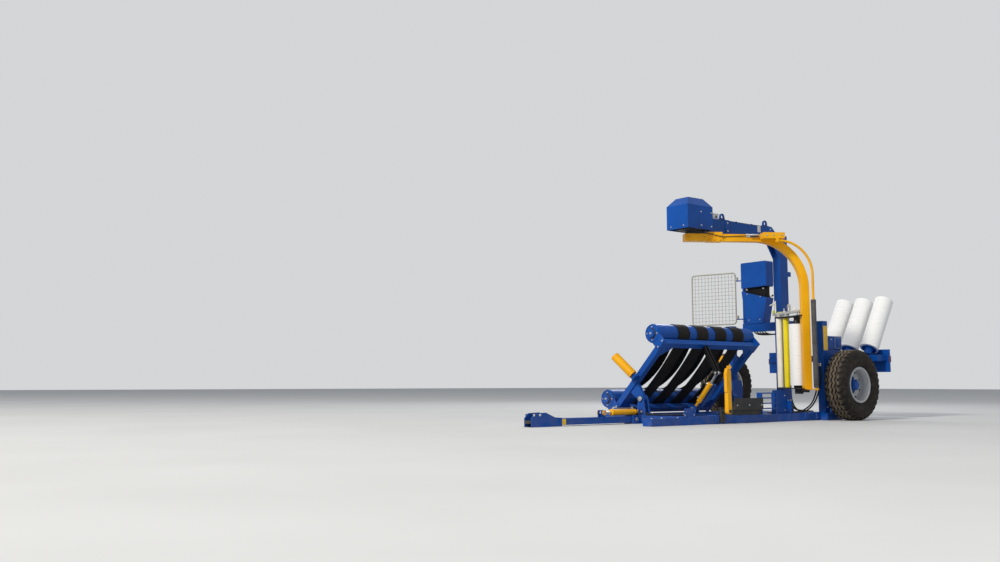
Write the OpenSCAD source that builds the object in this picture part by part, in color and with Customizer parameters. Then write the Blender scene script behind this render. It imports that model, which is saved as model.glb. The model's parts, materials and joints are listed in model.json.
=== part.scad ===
// Trailed round bale wrapper with one wrapping arm on an overhead boom.
// Millimetres. X points forward to the drawbar, Y to the left, Z up.
// The wrapping axis is the line X = 0, Y = 0. The ground is Z = 0.
// The table is drawn tipped to the right, as the machine stands.

/* [Wheels] */
// Distance from the wrapping axis back to the wheels
wheel_x = 1670; // [1640:10:1720]
// Distance from the centre line to the middle of a tyre
wheel_y = 968; // [950:2:1000]
// Outer diameter of a tyre
tyre_d = 855; // [820:5:860]
// Width of a tyre
tyre_w = 260; // [240:5:280]
// Diameter over the rim flange
rim_d = 430; // [410:5:440]

/* [Boom and mast] */
// Distance from the wrapping axis back to the mast centre
mast_x = 1610; // [1590:5:1640]
// Length of the mast's section, front to back
mast_w = 160; // [140:5:180]
// Width of the mast's section
mast_t = 110; // [100:5:130]
// Height of the underside of the boom
boom_z = 2280; // [2275:5:2320]
// Height of the boom box
boom_h = 170; // [150:5:180]
// Width of the boom box
boom_w = 160; // [140:5:180]

/* [Wrapping arm] */
// Height of the middle of the arm's level part
arm_z = 2200; // [2190:5:2200]
// Radius at which the arm's upright part runs
arm_r = 1330; // [1320:5:1335]
// Side of the square arm tube
arm_w = 90; // [80:2:90]
// Radius of the arm's bend
arm_bend = 600; // [520:10:640]
// Height of the arm's lower end
arm_foot_z = 380; // [360:5:420]
// Angle at which the arm is parked, from forward to the left
arm_park = 147; // [140:1:150]

/* [Film stretcher] */
// Diameter of the film roll on the arm
film_d = 200; // [160:5:205]
// Width of the film web and length of a film roll
film_len = 750; // [720:5:760]
// Diameter of the two stretch rollers
stretch_d = 74; // [60:2:76]

/* [Wrapping table] */
// Angle at which the table is tipped to the right
table_tilt = 45; // [40:1:46]
// Half of the distance between the two belt rollers
roller_y = 530; // [510:5:535]
// Height of the belt rollers when the table is level
roller_z = 650; // [645:5:670]
// Diameter of the belt rollers
roller_d = 220; // [200:5:225]
// Half of the length of the table frame
table_half = 830; // [810:5:850]
// Width of one belt
belt_w = 190; // [170:5:200]
// Thickness of the belts
belt_t = 8; // [6:1:10]
// How far the carrying run of the belts sags
belt_sag = 120; // [80:5:140]

/* [Film store] */
// Distance between the stored film rolls
store_pitch = 290; // [270:5:300]
// Diameter of the stored film rolls
store_d = 230; // [220:5:250]
// How far the stored rolls lean back
store_lean = 32; // [28:1:34]

/* [Hidden] */
$fn = 64;
blue = [0.07, 0.32, 0.66];
yellow = [0.96, 0.68, 0.05];
black = [0.09, 0.09, 0.09];
white = [0.93, 0.93, 0.92];
silver = [0.74, 0.75, 0.76];
grey = [0.35, 0.36, 0.37];
fit = 0.05;
face_gap = 0.3;
base_h = 90;
near_y = 620;
far_y = -450;
front_x = 1515;
cross_x = 1000;
pivot_y = -140;
pivot_z = 270;
pivot_r = 22;
boom_eyes = [-496, -1340];
tyre_r = tyre_d / 2;
axle_r = 25;
wheel_z = tyre_r;
pivot_x = table_half - 35;
draw_pivot_x = 1130;
draw_pivot_z = 50;
draw_pin_r = 16;
pin_r = 12;
draw_base_x = 1010;
draw_lug_x = 1580;
draw_cyl_z = 128;
tip_x = 110;
tip_base = [20, 150];
tip_lug = [438, 110];
tip_rod_r = 15;
hood_cx = 94;
hood_x = 444;
hood_y = 336;
hood_h = 385;
hood_eave = 285;
hub_r = 45;
roll_core_r = 38;
shelf_z = arm_foot_z + 10;
plate_z = shelf_z + film_len + 120;
roll_pos = [arm_r - 25, 200];
rear_pos = [arm_r - 104, 360];
front_pos = [arm_r - 162, 440];
bar_off = -165;
bar_bend = 400;
bar_r = arm_r + 42;
bar_z = arm_z - 45;
bar_tube_r = 15;
tube = 70;
tube_z = roller_z - roller_d / 2 - belt_t - 10 - tube;
guide_lean = 14;
guide_shaft_r = 15;
store_x = -2450;
store_z = 890;
store_y0 = 150;
lamp_y = 790;
guard_turn = -76;
guard_place = [-1750, -800, 1250];
guard_len = 700;
guard_h = 730;
guard_step = 50;
lever_place = [400, 770, 140];

// Small helpers

module box(a, b) {
    translate(a) cube(b - a);
}

module bar_x(x0, x1, y, z0, w, h) {
    translate([x0, y - w / 2, z0]) cube([x1 - x0, w, h]);
}

module bar_y(y0, y1, x, z0, w, h) {
    translate([x - w / 2, y0, z0]) cube([w, y1 - y0, h]);
}

module rod(a, b, r) {
    d = b - a;
    translate(a) rotate([0, acos(d[2] / norm(d)), atan2(d[1], d[0])]) cylinder(h = norm(d), r = r);
}

module pin_x(x0, x1, y, z, r) {
    translate([x0, y, z]) rotate([0, 90, 0]) cylinder(h = x1 - x0, r = r);
}

module pin_y(y0, y1, x, z, r) {
    translate([x, y0, z]) rotate([-90, 0, 0]) cylinder(h = y1 - y0, r = r);
}

// Plate of a given outline that stands across the X axis
module plate_x(x0, t) {
    translate([x0, 0, 0]) rotate([90, 0, 90]) linear_extrude(t) children();
}

// Plate of a given outline that stands across the Y axis
module plate_y(y0, t) {
    translate([0, y0 + t, 0]) rotate([90, 0, 0]) linear_extrude(t) children();
}

// Base frame with its beams on the ground

module base_frame() color(blue) {
    difference() {
        union() {
            bar_x(-mast_x - 110, front_x - 100, near_y, 0, 100, 76);
            bar_x(-mast_x - 110, cross_x - 80, near_y, 0, 100, base_h);
            bar_x(-mast_x - 110, cross_x + 50, far_y, 0, 100, base_h);
            bar_x(-mast_x - 110, cross_x, 0, 0, 120, base_h);
            bar_y(far_y - 50, near_y + 50, cross_x, 0, 100, base_h);
            for (x = [-pivot_x, pivot_x]) bar_y(far_y, near_y, x, 0, 100, base_h);
            bar_y(-780, 780, -mast_x + 40, 0, 300, base_h);
            bar_x(920, front_x, near_y, 0, 130, 78);
            for (y = [-75, 55]) box([cross_x + 40, y, 0], [draw_pivot_x + 40, y + 20, base_h]);
            for (y = [-32, 20]) box([draw_base_x - 30, y, 0], [draw_base_x + 30, y + 12, draw_cyl_z + 30]);
            for (x = [tip_x - 30, tip_x + 18]) box([x, tip_base[0] - 50, base_h - 5],
                [x + 12, tip_base[0] + 50, tip_base[1] + 34]);
            box([tip_x - 60, -60, 0], [tip_x + 60, 90, base_h]);
            plate_y(640, 12) polygon([[800, 70], [972, 70], [972, 160], [955, 178], [817, 178], [800, 160]]);
            for (x = [-1410, -1180, 450]) box([x, near_y - 62, 20], [x + 60, near_y + 62, base_h + 8]);
        }
        pin_y(-80, 80, draw_pivot_x, draw_pivot_z, draw_pin_r - 1);
        for (x = [836, 936]) pin_y(630, 660, x, 138, 11);
    }
    pin_y(-85, 85, draw_pivot_x, draw_pivot_z, draw_pin_r);
    pin_y(-38, 38, draw_base_x, draw_cyl_z, pin_r);
    pin_x(tip_x - 36, tip_x + 36, tip_base[0], tip_base[1], pin_r);
}

module pivot_brackets() color(blue) {
    for (s = [-1, 1]) {
        for (d = [-42, 26]) plate_x(s * pivot_x + d, 16) union() {
            translate([pivot_y, pivot_z]) circle(r = 42);
            polygon([[pivot_y - 75, base_h], [pivot_y + 75, base_h],
                [pivot_y + 41, pivot_z + 9], [pivot_y - 41, pivot_z + 9]]);
        }
        pin_x(s * pivot_x - 52, s * pivot_x + 52, pivot_y, pivot_z, pivot_r);
    }
}

// Side uprights, axle stubs and mast

module side_uprights() color(blue) {
    for (s = [-1, 1]) {
        box([-1530, s * 700 - 45, base_h], [-1430, s * 700 + 45, 1210]);
    }
}

module axle_stubs() color(blue) {
    for (s = [-1, 1]) {
        plate_y(s > 0 ? 750 : -780, 30) polygon([[-mast_x + 110, base_h], [-mast_x - 110, base_h],
            [-wheel_x - 80, wheel_z - 40], [-wheel_x - 50, wheel_z + 60],
            [-wheel_x + 50, wheel_z + 60], [-wheel_x + 80, wheel_z - 40]]);
        pin_y(s > 0 ? 780 : -wheel_y - 25, s > 0 ? wheel_y + 25 : -780, -wheel_x, wheel_z, axle_r);
        pin_y(s > 0 ? 780 : -800, s > 0 ? 800 : -780, -wheel_x, wheel_z, 55);
    }
}

module mast() color(blue) {
    h = mast_w / 2;
    y0 = boom_w / 2 - mast_t;
    y1 = boom_w / 2;
    box([-mast_x - h, y0, base_h], [-mast_x + h, y1, boom_z]);
    plate_y(y0, 16) polygon([[-mast_x + h, boom_z], [-mast_x + h + 150, boom_z],
        [-mast_x + h, boom_z - 220]]);
    plate_y(y1 - 16, 16) polygon([[-mast_x + h, boom_z], [-mast_x + h + 150, boom_z],
        [-mast_x + h, boom_z - 220]]);
    box([-mast_x - h - 90, y0 + 20, 1840], [-mast_x - h, y1 - 20, 1900]);
    for (y = [y0 - 14, y1]) plate_y(y, 14) polygon([[-mast_x - 100, base_h],
        [-mast_x + 100, base_h], [-mast_x + 40, base_h + 220], [-mast_x - 40, base_h + 220]]);
}

module boom() color(blue) {
    w = boom_w / 2;
    top = boom_z + boom_h;
    plate_y(-w, boom_w) polygon([[-mast_x - mast_w / 2, boom_z], [-mast_x - mast_w / 2, boom_z + 85],
        [-mast_x + 120, boom_z + 85], [-mast_x + 220, top], [hood_cx - hood_x / 2 + 5, top],
        [hood_cx - hood_x / 2 + 5, boom_z]]);
    for (x = boom_eyes) {
        plate_y(-9, 18) translate([x, top]) difference() {
            union() {
                translate([0, 60]) circle(r = 42);
                polygon([[-60, 0], [60, 0], [38, 70], [-38, 70]]);
            }
            translate([0, 60]) circle(r = 22);
        }
        for (y = [-w - 8, w]) box([x - 34, y, boom_z + 12], [x + 34, y + 8, top + 6]);
        box([x - 34, -w - 8, top], [x + 34, w + 8, top + 8]);
    }
}

// Hipped cover over the drive, open underneath

module hood_block(in, low) {
    a = hood_x / 2 - in;
    b = hood_y / 2 - in;
    intersection() {
        plate_y(-b, 2 * b) polygon([[hood_cx - a, low], [hood_cx + a, low],
            [hood_cx + a, boom_z + hood_eave - in],
            [hood_cx + a - 90, boom_z + hood_h - in], [hood_cx - a + 90, boom_z + hood_h - in],
            [hood_cx - a, boom_z + hood_eave - in]]);
        plate_x(hood_cx - a, 2 * a) polygon([[-b, low], [b, low], [b, boom_z + hood_eave - in],
            [b - 70, boom_z + hood_h - in], [-b + 70, boom_z + hood_h - in], [-b, boom_z + hood_eave - in]]);
    }
}

module drive_hood() color(blue) {
    difference() {
        hood_block(0, boom_z);
        hood_block(5, boom_z - 1);
        box([hood_cx - hood_x / 2 - 1, -boom_w / 2, boom_z - 1],
            [hood_cx - hood_x / 2 + 6, boom_w / 2, boom_z + boom_h]);
    }
}

module arm_bearing() color(grey) {
    x0 = hood_cx - hood_x / 2 + 5;
    difference() {
        union() {
            box([x0 + face_gap, -100, boom_z], [hood_cx + 150, 100, boom_z + 30]);
            translate([0, 0, boom_z - 20]) cylinder(h = 20, r = 105);
            translate([20, 0, boom_z + 29]) cylinder(h = 120, r = 68);
            translate([hood_cx + 60, 0, boom_z + 29]) cylinder(h = 190, r = 50);
        }
        translate([0, 0, boom_z - 30]) cylinder(h = 260, r = hub_r + fit);
    }
    for (s = [-1, 1]) box([hood_cx - 60, s > 0 ? 100 : -hood_y / 2 + 5.3, boom_z],
        [hood_cx + 60, s > 0 ? hood_y / 2 - 5.3 : -100, boom_z + 20]);
}

// Stored film rolls on the rear rack

module store_place(i) {
    translate([store_x, store_y0 + i * store_pitch, store_z]) rotate([0, -store_lean, 0]) children();
}

module film_rack() color(blue) {
    y1 = store_y0 + 2 * store_pitch + 150;
    box([store_x - 110, store_y0 - 150, store_z - 160], [store_x + 60, y1, store_z - 80]);
    for (i = [0 : 2]) store_place(i) {
        translate([0, 0, -8]) cylinder(h = 8, r = 90);
        translate([0, 0, -90]) cylinder(h = 82, r = 50);
        translate([0, 0, -20]) cylinder(h = 320, r = roll_core_r - 0.5);
    }
    bar_x(store_x, -1530, 700, store_z - 160, 60, 80);
    bar_x(store_x, -mast_x - mast_w / 2, 0, store_z - 160, 60, 80);
    for (s = [-1, 1]) box([store_x - 150, s * lamp_y - 140, store_z - 300],
        [store_x - 130, s * lamp_y + 140, store_z - 10]);
    box([store_x - 130, y1 - 300, store_z - 150], [store_x - 100, lamp_y + 100, store_z - 90]);
    box([store_x - 130, -lamp_y - 100, store_z - 150], [store_x - 100, store_y0, store_z - 90]);
    box([-1880, 694, store_z - 20], [-1530, 706, store_z + 140]);
    box([-1880, 670, store_z - 90], [-1530, 694, store_z - 20]);
}

module spare_rolls() color(white) {
    for (i = [0 : 2]) store_place(i) difference() {
        cylinder(h = film_len, r = store_d / 2);
        translate([0, 0, -1]) cylinder(h = film_len + 2, r = roll_core_r);
    }
}

module tail_lamps() color([0.75, 0.08, 0.05]) {
    for (s = [-1, 1]) box([store_x - 175, s * (lamp_y + 60) - 55, store_z - 220],
        [store_x - 150, s * (lamp_y + 60) + 55, store_z - 90]);
}

module marker_plates() color(yellow) {
    for (s = [-1, 1]) box([-1524, s > 0 ? 745 : -749, 850], [-1440, s > 0 ? 749 : -745, 1150]);
}

// Operator console on the right rear corner

module console_box() color(blue) {
    y0 = boom_w / 2 - mast_t;
    box([-mast_x - 190, -715, 1140], [-mast_x - 130, boom_w / 2, 1255]);
    box([-mast_x - 131, y0, 1140], [-mast_x - mast_w / 2, boom_w / 2, 1255]);
    plate_x(-1880, 150) polygon([[-715, 1700], [-300, 1590], [-370, 1250], [-650, 1250]]);
    box([-1850, -660, 1560], [-1770, -340, 1745]);
    box([-1830, -745, 1180], [-1790, -715, 2060]);
    box([-1830, -716, 1180], [-1790, -690, 1255]);
    box([-1830, -716, 1650], [-1790, -690, 1715]);
    for (z = [80, guard_h - 120]) {
        translate([guard_place[0], guard_place[1], guard_place[2] + z - 14]) {
            cylinder(h = 60, r = 8);
            cylinder(h = 14 - face_gap, r = 14);
            translate([-8, 0, 0]) cube([16, 58, 14 - face_gap]);
            translate([-50, 46, 0]) cube([58, 16, 14 - face_gap]);
        }
    }
}

module console_hood() color(blue) {
    difference() {
        plate_x(-1880, 150) polygon([[-715, 1760], [-700, 1745], [-310, 1745], [-295, 1760], [-295, 2075],
            [-310, 2090], [-700, 2090], [-715, 2075]]);
        plate_x(-1868, 141) polygon([[-700, 1770], [-310, 1740], [-310, 2075], [-700, 2075]]);
    }
}

// Film clamp, film guide and hoses on the near beam

module film_clamp() color(grey) {
    y0 = near_y - 50;
    y1 = near_y + 50;
    box([-300, y0 + 4, base_h], [193, y1 - 4, base_h + 60]);
    box([-300, y1 - 24, base_h + 59], [193, y1 + 30, base_h + 85]);
    box([-300, y1 + 10, base_h + 84], [193, y1 + 30, base_h + 190]);
    for (x = [-290, -65, 160]) box([x, y0 + 10, base_h + 59], [x + 16, y1 - 10, base_h + 150]);
    box([-290, y0 + 30, base_h + 110], [170, y0 + 60, base_h + 140]);
    box([lever_place[0] - 32, y1, 20], [lever_place[0] + 32, y1 + 30, 180]);
    pin_y(y1 + 25, 802, lever_place[0], lever_place[2], pin_r);
    pin_y(y1 + 30, 744, lever_place[0], lever_place[2], 22);
    pin_y(795.5, 802, lever_place[0], lever_place[2], 20);
}

module hold_lever() color(yellow) {
    difference() {
        translate([lever_place[0], lever_place[1], 0]) {
            plate_y(-25, 50) union() {
                translate([0, lever_place[2]]) circle(r = 30);
                polygon([[-30, lever_place[2]], [30, lever_place[2]], [26, lever_place[2] + 230],
                    [-26, lever_place[2] + 230]]);
            }
            plate_y(-20, 40) polygon([[-30, 340], [-5, 328], [36, 350], [40, 560], [20, 610], [-8, 615],
                [-34, 580], [-38, 400]]);
            translate([0, 0, 600]) cylinder(h = 40, r = 9);
        }
        pin_y(700, 800, lever_place[0], lever_place[2], pin_r + fit);
    }
}

module film_guide() color(blue) {
    y0 = near_y - 20;
    plate_y(y0, 12) {
        translate([-750, 236]) circle(r = 130);
        polygon([[-880, base_h], [-600, base_h], [-600, 366], [-750, 366], [-750, 236], [-880, 236]]);
    }
    for (x = [-596, -326]) box([x, y0, base_h], [x + 16, y0 + 70, 340]);
    for (z = [150, 210, 270, 326]) box([-600, y0 + 54, z], [-310, y0 + 70, z + 14]);
    box([-880, y0 + 11, base_h], [-868, y0 + 60, 240]);
}

// Hoses laid along the near beam, swept as a plain tube

hose_r = 9;
hose_path = [[-1450, 540], [-1150, 538], [-600, 536], [0, 530], [500, 520], [760, 480],
    [930, 330], [980, 120]];

function hose_point(i, off) = [hose_path[i][0] - (i < 5 ? 0 : off),
    hose_path[i][1] - (i < 6 ? off : 0), base_h + hose_r + face_gap];
function hose_dir(i) = let (a = hose_path[max(i - 1, 0)], b = hose_path[min(i + 1, len(hose_path) - 1)])
    (b - a) / norm(b - a);

module swept_hose(off) {
    n = len(hose_path);
    pts = [for (i = [0 : n - 1]) let (d = hose_dir(i), c = hose_point(i, off))
        for (k = [0 : 7]) c + hose_r * [-d[1] * cos(45 * k), d[0] * cos(45 * k), sin(45 * k)]];
    sides = [for (i = [0 : n - 2]) for (k = [0 : 7])
        [8 * i + 8 + k, 8 * i + 8 + (k + 1) % 8, 8 * i + (k + 1) % 8, 8 * i + k]];
    polyhedron(pts, concat(sides, [[for (k = [0 : 7]) k]], [[for (k = [7 : -1 : 0]) 8 * (n - 1) + k]]));
}

module base_hoses() color(black) {
    for (off = [0, 26]) swept_hose(off);
}

// Wheels

module tyre_profile() {
    rb = rim_d / 2 - 12;
    hw = tyre_w / 2;
    polygon([[rb, -hw + 45], [rb + 20, -hw + 28], [rb + 60, -hw + 6], [rb + 100, -hw],
        [rb + 140, -hw + 4], [tyre_r - 28, -hw + 14], [tyre_r - 8, -hw + 34], [tyre_r, -hw + 70],
        [tyre_r, hw - 70], [tyre_r - 8, hw - 34], [tyre_r - 28, hw - 14], [rb + 140, hw - 4],
        [rb + 100, hw], [rb + 60, hw - 6], [rb + 20, hw - 28], [rb, hw - 45]]);
}

module tyre() color(black) rotate([90, 0, 0]) rotate_extrude() tyre_profile();

module rim() color(silver) {
    rb = rim_d / 2 - 12;
    hw = tyre_w / 2;
    rotate([90, 0, 0]) {
        rotate_extrude() polygon([[rb - 12, -hw + 22], [rb + 12, -hw + 20], [rb + 12, -hw + 30],
            [rb, -hw + 38], [rb, hw - 38], [rb + 12, hw - 30], [rb + 12, hw - 20], [rb - 12, hw - 22]]);
        translate([0, 0, 20]) difference() {
            cylinder(h = 12, r = rb - 10);
            translate([0, 0, -1]) cylinder(h = 14, r = 66);
        }
    }
}

module hub() color(blue) {
    rotate([90, 0, 0]) {
        difference() {
            union() {
                translate([0, 0, -50]) cylinder(h = 140, r = 66);
                translate([0, 0, 8]) cylinder(h = 12, r = 105);
                for (k = [0 : 5]) rotate([0, 0, 60 * k]) translate([85, 0, -6]) cylinder(h = 15, r = 12);
            }
            translate([0, 0, -30]) cylinder(h = 160, r = axle_r + fit);
        }
    }
}

// Wrapping arm, drawn along X and turned to its parked place

module on_arm() {
    rotate([0, 0, arm_park]) children();
}

module arm_hub() color(grey) on_arm() {
    top = arm_z + arm_w / 2;
    box([-100, -80, top], [100, 80, boom_z - 20 - face_gap]);
    translate([0, 0, top + 5]) cylinder(h = 208, r = hub_r);
}

module wrap_arm() color(yellow) on_arm() {
    h = arm_w / 2;
    box([-142, -60, arm_z - h], [136, 60, arm_z + h]);
    box([135, -55, arm_z - h - 5], [320, 55, arm_z + h + 23]);
    box([319, -h, arm_z - h], [arm_r - arm_bend, h, arm_z + h]);
    translate([arm_r - arm_bend, 0, arm_z - arm_bend]) rotate([90, 0, 0])
        rotate_extrude(angle = 90) translate([arm_bend - h, -h]) square([arm_w, arm_w]);
    box([arm_r - h, -h, arm_foot_z], [arm_r + h, h, arm_z - arm_bend]);
}

module safety_bar() color(yellow) on_arm() {
    x0 = bar_r - bar_bend;
    box([x0 - 190, bar_off - 25, arm_z - 22], [x0 + 68, -arm_w / 2, arm_z + 50]);
    box([x0 - 40, bar_off - 25, bar_z - 20], [x0 - 8, bar_off + 25, arm_z - 21]);
    pin_x(x0 - 30, x0, bar_off, bar_z, bar_tube_r);
    translate([x0, bar_off, bar_z - bar_bend]) rotate([90, 0, 0])
        rotate_extrude(angle = 90) translate([bar_bend, 0]) circle(r = bar_tube_r);
    translate([bar_r, bar_off, arm_foot_z - 20])
        cylinder(h = bar_z - bar_bend - arm_foot_z + 20, r = bar_tube_r);
    box([arm_r - 25, bar_off - 25, arm_foot_z - 10], [bar_r + 25, bar_off + 25, arm_foot_z]);
    box([arm_r - 25, bar_off + 20, arm_foot_z - 10], [arm_r + 25, arm_w / 2, arm_foot_z]);
}

module safety_sleeve() color(grey) on_arm() {
    translate([bar_r, bar_off, arm_foot_z + 14]) difference() {
        cylinder(h = bar_z - bar_bend - arm_foot_z - 325, r = 30);
        translate([0, 0, -1]) cylinder(h = arm_z, r = bar_tube_r);
    }
}

// Film stretcher beside the upright part of the arm

module plate_outline() {
    x1 = arm_r + arm_w / 2;
    polygon([[arm_r - 90, -25], [x1, -25], [x1 - 5, 250], [arm_r - 40, 430], [arm_r - 130, 488],
        [arm_r - 175, 488], [arm_r - 210, 455], [arm_r - 205, 410], [arm_r - 130, 230], [arm_r - 105, 120]]);
}

module stretcher_frame() color(blue) on_arm() {
    h = arm_w / 2;
    for (z = [plate_z, shelf_z - 12]) translate([0, 0, z]) linear_extrude(12) difference() {
        plate_outline();
        translate([arm_r - h - 0.2, -h]) square([2 * h + 2, 2 * h + 0.2]);
    }
    for (z = [plate_z + 12, shelf_z - 52]) box([arm_r - h, h, z], [arm_r + h, h + 14, z + 40]);
    translate([roll_pos[0], roll_pos[1], shelf_z - 72]) cylinder(h = 61, r = 50);
    for (p = [front_pos, rear_pos]) {
        translate([p[0], p[1], shelf_z - 1]) cylinder(h = 60, r = 10);
        translate([p[0], p[1], plate_z - 59]) cylinder(h = 60, r = 10);
    }
    translate([roll_pos[0], roll_pos[1], shelf_z - 1]) cylinder(h = 31 - face_gap, r = 60);
    translate([roll_pos[0], roll_pos[1], shelf_z + 25]) cylinder(h = 80, r = roll_core_r - fit);
    translate([roll_pos[0], roll_pos[1], shelf_z + film_len - 30])
        cylinder(h = plate_z - shelf_z - film_len + 31, r = roll_core_r - fit);
}

module film_roll() color(white) on_arm() {
    translate([roll_pos[0], roll_pos[1], shelf_z + 30]) difference() {
        cylinder(h = film_len, r = film_d / 2);
        translate([0, 0, -1]) cylinder(h = film_len + 2, r = roll_core_r);
    }
}

module stretch_roller(p) {
    translate([p[0], p[1], shelf_z + 6]) difference() {
        cylinder(h = plate_z - shelf_z - 12, r = stretch_d / 2);
        translate([0, 0, -1]) cylinder(h = plate_z - shelf_z - 10, r = 10 + fit);
    }
}

module front_stretch_roller() color(silver) on_arm() stretch_roller(front_pos);

module rear_stretch_roller() color(yellow) on_arm() stretch_roller(rear_pos);

// Wrapping table, drawn level and tipped about its pivot

module on_table() {
    translate([0, pivot_y, pivot_z]) rotate([table_tilt, 0, 0]) translate([0, -pivot_y, -pivot_z]) children();
}

module table_frame() color(blue) on_table() {
    difference() {
        union() {
            for (s = [-1, 1]) {
                bar_x(-table_half, table_half, s * roller_y, tube_z, tube, tube);
                bar_y(-roller_y, roller_y, s * pivot_x, tube_z, tube, tube);
                plate_x(s * pivot_x - 20, 40) union() {
                    translate([pivot_y, pivot_z]) circle(r = 42);
                    polygon([[pivot_y - 41, pivot_z], [pivot_y + 41, pivot_z],
                        [pivot_y + 80, tube_z + 1], [pivot_y - 80, tube_z + 1]]);
                }
                box([s > 0 ? table_half - 1 : -table_half - 70, -38, tube_z + 12],
                    [s > 0 ? table_half + 70 : -table_half + 1, 38, tube_z + 46]);
                guide_place(s) {
                    cylinder(h = 342, r = guide_shaft_r);
                    cylinder(h = 24.7, r = 26);
                }
            }
            for (x = [-30, 18]) plate_x(tip_x + x, 12) union() {
                translate(tip_lug) circle(r = 24);
                polygon([[tip_lug[0] - 23, tip_lug[1] + 4], [tip_lug[0] + 23, tip_lug[1] - 4],
                    [roller_y + 25, tube_z + 1], [roller_y - 30, tube_z + 1]]);
            }
            for (x = [-38, 29]) pin_x(tip_x + x, tip_x + x + 9, tip_lug[0], tip_lug[1], pin_r);
        }
        for (s = [-1, 1]) pin_x(s * pivot_x - 30, s * pivot_x + 30, pivot_y, pivot_z, pivot_r + fit);
    }
}

module roller_ends() color(blue) on_table() {
    for (s = [-1, 1]) {
        for (t = [-1, 1]) plate_x(s > 0 ? table_half : -table_half - 16, 16) union() {
            translate([t * roller_y, roller_z]) circle(r = roller_d / 2 - 8);
            translate([t * roller_y - 75, tube_z]) square([150, roller_z - tube_z]);
        }
        for (t = [-1, 1]) pin_x(s > 0 ? table_half + 15 : -table_half - 40,
            s > 0 ? table_half + 40 : -table_half - 15, t * roller_y, roller_z, 48);
    }
}

module belt_rollers() color(blue) on_table() {
    for (s = [-1, 1]) pin_x(-table_half, table_half, s * roller_y, roller_z, roller_d / 2);
}

// Endless belts round both rollers, with a hanging run above and below

belt_step = 7.5;
run_k = roller_d / 2 - belt_sag;
run_r = (roller_y * roller_y + run_k * run_k - roller_d * roller_d / 4) / (2 * (roller_d / 2 - run_k));
run_z = roller_z + run_k + run_r;
low_k = -roller_d / 2 - 40;
low_r = (roller_y * roller_y + low_k * low_k - roller_d * roller_d / 4) / (2 * (-low_k - roller_d / 2));
low_z = roller_z + low_k + low_r;
up_angle = atan2(run_z - roller_z, -roller_y);
down_angle = atan2(roller_z - low_z, roller_y);

function arc(c, r, a0, a1, n) = [for (i = [0 : n]) let (a = a0 + (a1 - a0) * i / n)
    [c[0] + r * cos(a), c[1] + r * sin(a)]];
function belt_loop(t) = let (
    r = (roller_d / 2 + 0.02) / cos(belt_step / 2) + t,
    n = ceil((up_angle - down_angle) / belt_step))
    concat(
        arc([roller_y, roller_z], r, up_angle, down_angle, n),
        arc([0, low_z], low_r + t, down_angle, -180 - down_angle, 12),
        arc([-roller_y, roller_z], r, -180 - down_angle, -180 - up_angle, n),
        arc([0, run_z], run_r - t, -up_angle, up_angle - 180, 16));

module belts() color(black) on_table() {
    for (x = [-535, -213, 109, 431]) plate_x(x - belt_w / 2, belt_w) difference() {
        polygon(belt_loop(belt_t));
        polygon(belt_loop(0));
    }
}

module guide_place(s) {
    translate([s * (table_half + 40), 0, tube_z + 44]) rotate([0, s * guide_lean, 0]) children();
}

module guide_roller(s) {
    on_table() guide_place(s) translate([0, 0, 25]) difference() {
        cylinder(h = 315, r = 52);
        translate([0, 0, -1]) cylinder(h = 317, r = guide_shaft_r + fit);
    }
}

module front_guide_roller() color(yellow) guide_roller(1);

module rear_guide_roller() color(yellow) guide_roller(-1);

// Tipping cylinder, drawn along X from its lower pin

tip_end = [pivot_y + (tip_lug[0] - pivot_y) * cos(table_tilt) - (tip_lug[1] - pivot_z) * sin(table_tilt),
    pivot_z + (tip_lug[0] - pivot_y) * sin(table_tilt) + (tip_lug[1] - pivot_z) * cos(table_tilt)];
tip_angle = atan2(tip_end[1] - tip_base[1], tip_end[0] - tip_base[0]);
tip_len = norm(tip_end - tip_base);

module on_tip() {
    translate([tip_x, tip_base[0], tip_base[1]]) rotate([tip_angle, 0, 0]) rotate([0, 0, 90]) children();
}

module cylinder_barrel(r, bore, start, len) {
    difference() {
        union() {
            translate([0, -13, 0]) rotate([-90, 0, 0]) cylinder(h = 26, r = 26);
            rotate([0, 90, 0]) translate([0, 0, 20]) cylinder(h = start - 18, r = 15);
            rotate([0, 90, 0]) translate([0, 0, start]) cylinder(h = len - start, r = r);
        }
        translate([0, -20, 0]) rotate([-90, 0, 0]) cylinder(h = 40, r = pin_r + fit);
        rotate([0, 90, 0]) translate([0, 0, start + 10]) cylinder(h = len, r = bore);
    }
}

module cylinder_rod(r, start, len) {
    rotate([0, 90, 0]) translate([0, 0, start]) cylinder(h = len - start - 15, r = r);
    translate([len, -13, 0]) rotate([-90, 0, 0]) cylinder(h = 26, r = 22);
}

module tip_barrel() color(yellow) on_tip() cylinder_barrel(28, tip_rod_r + fit, 110, 390);

module tip_rod() color(silver) on_tip() cylinder_rod(tip_rod_r, 256, tip_len);

// Drawbar with its lifting cylinder

module drawbar() color(blue) {
    difference() {
        union() {
            bar_x(draw_pivot_x - 36, 2420, 0, 12, 100, 70);
            for (y = [-62, 50]) plate_y(y, 12) polygon([[2200, 0], [2610, 0], [2610, 90], [2560, 140],
                [2420, 146], [2300, 96], [2200, 88]]);
            for (y = [-32, 20]) box([draw_lug_x - 30, y, 80], [draw_lug_x + 30, y + 12, draw_cyl_z + 28]);
            bar_x(2400, 2480, 0, 30, 100, 40);
        }
        pin_y(-80, 80, draw_pivot_x, draw_pivot_z, draw_pin_r + fit);
    }
    for (y = [-40, 31]) pin_y(y, y + 9, draw_lug_x, draw_cyl_z, pin_r);
}

module drawbar_eye() color(grey) {
    difference() {
        union() {
            translate([2590, 0, 35]) cylinder(h = 30, r = 49);
            box([2480, -49, 35], [2590, 49, 65]);
        }
        translate([2590, 0, 34]) cylinder(h = 32, r = 25);
    }
}

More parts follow.
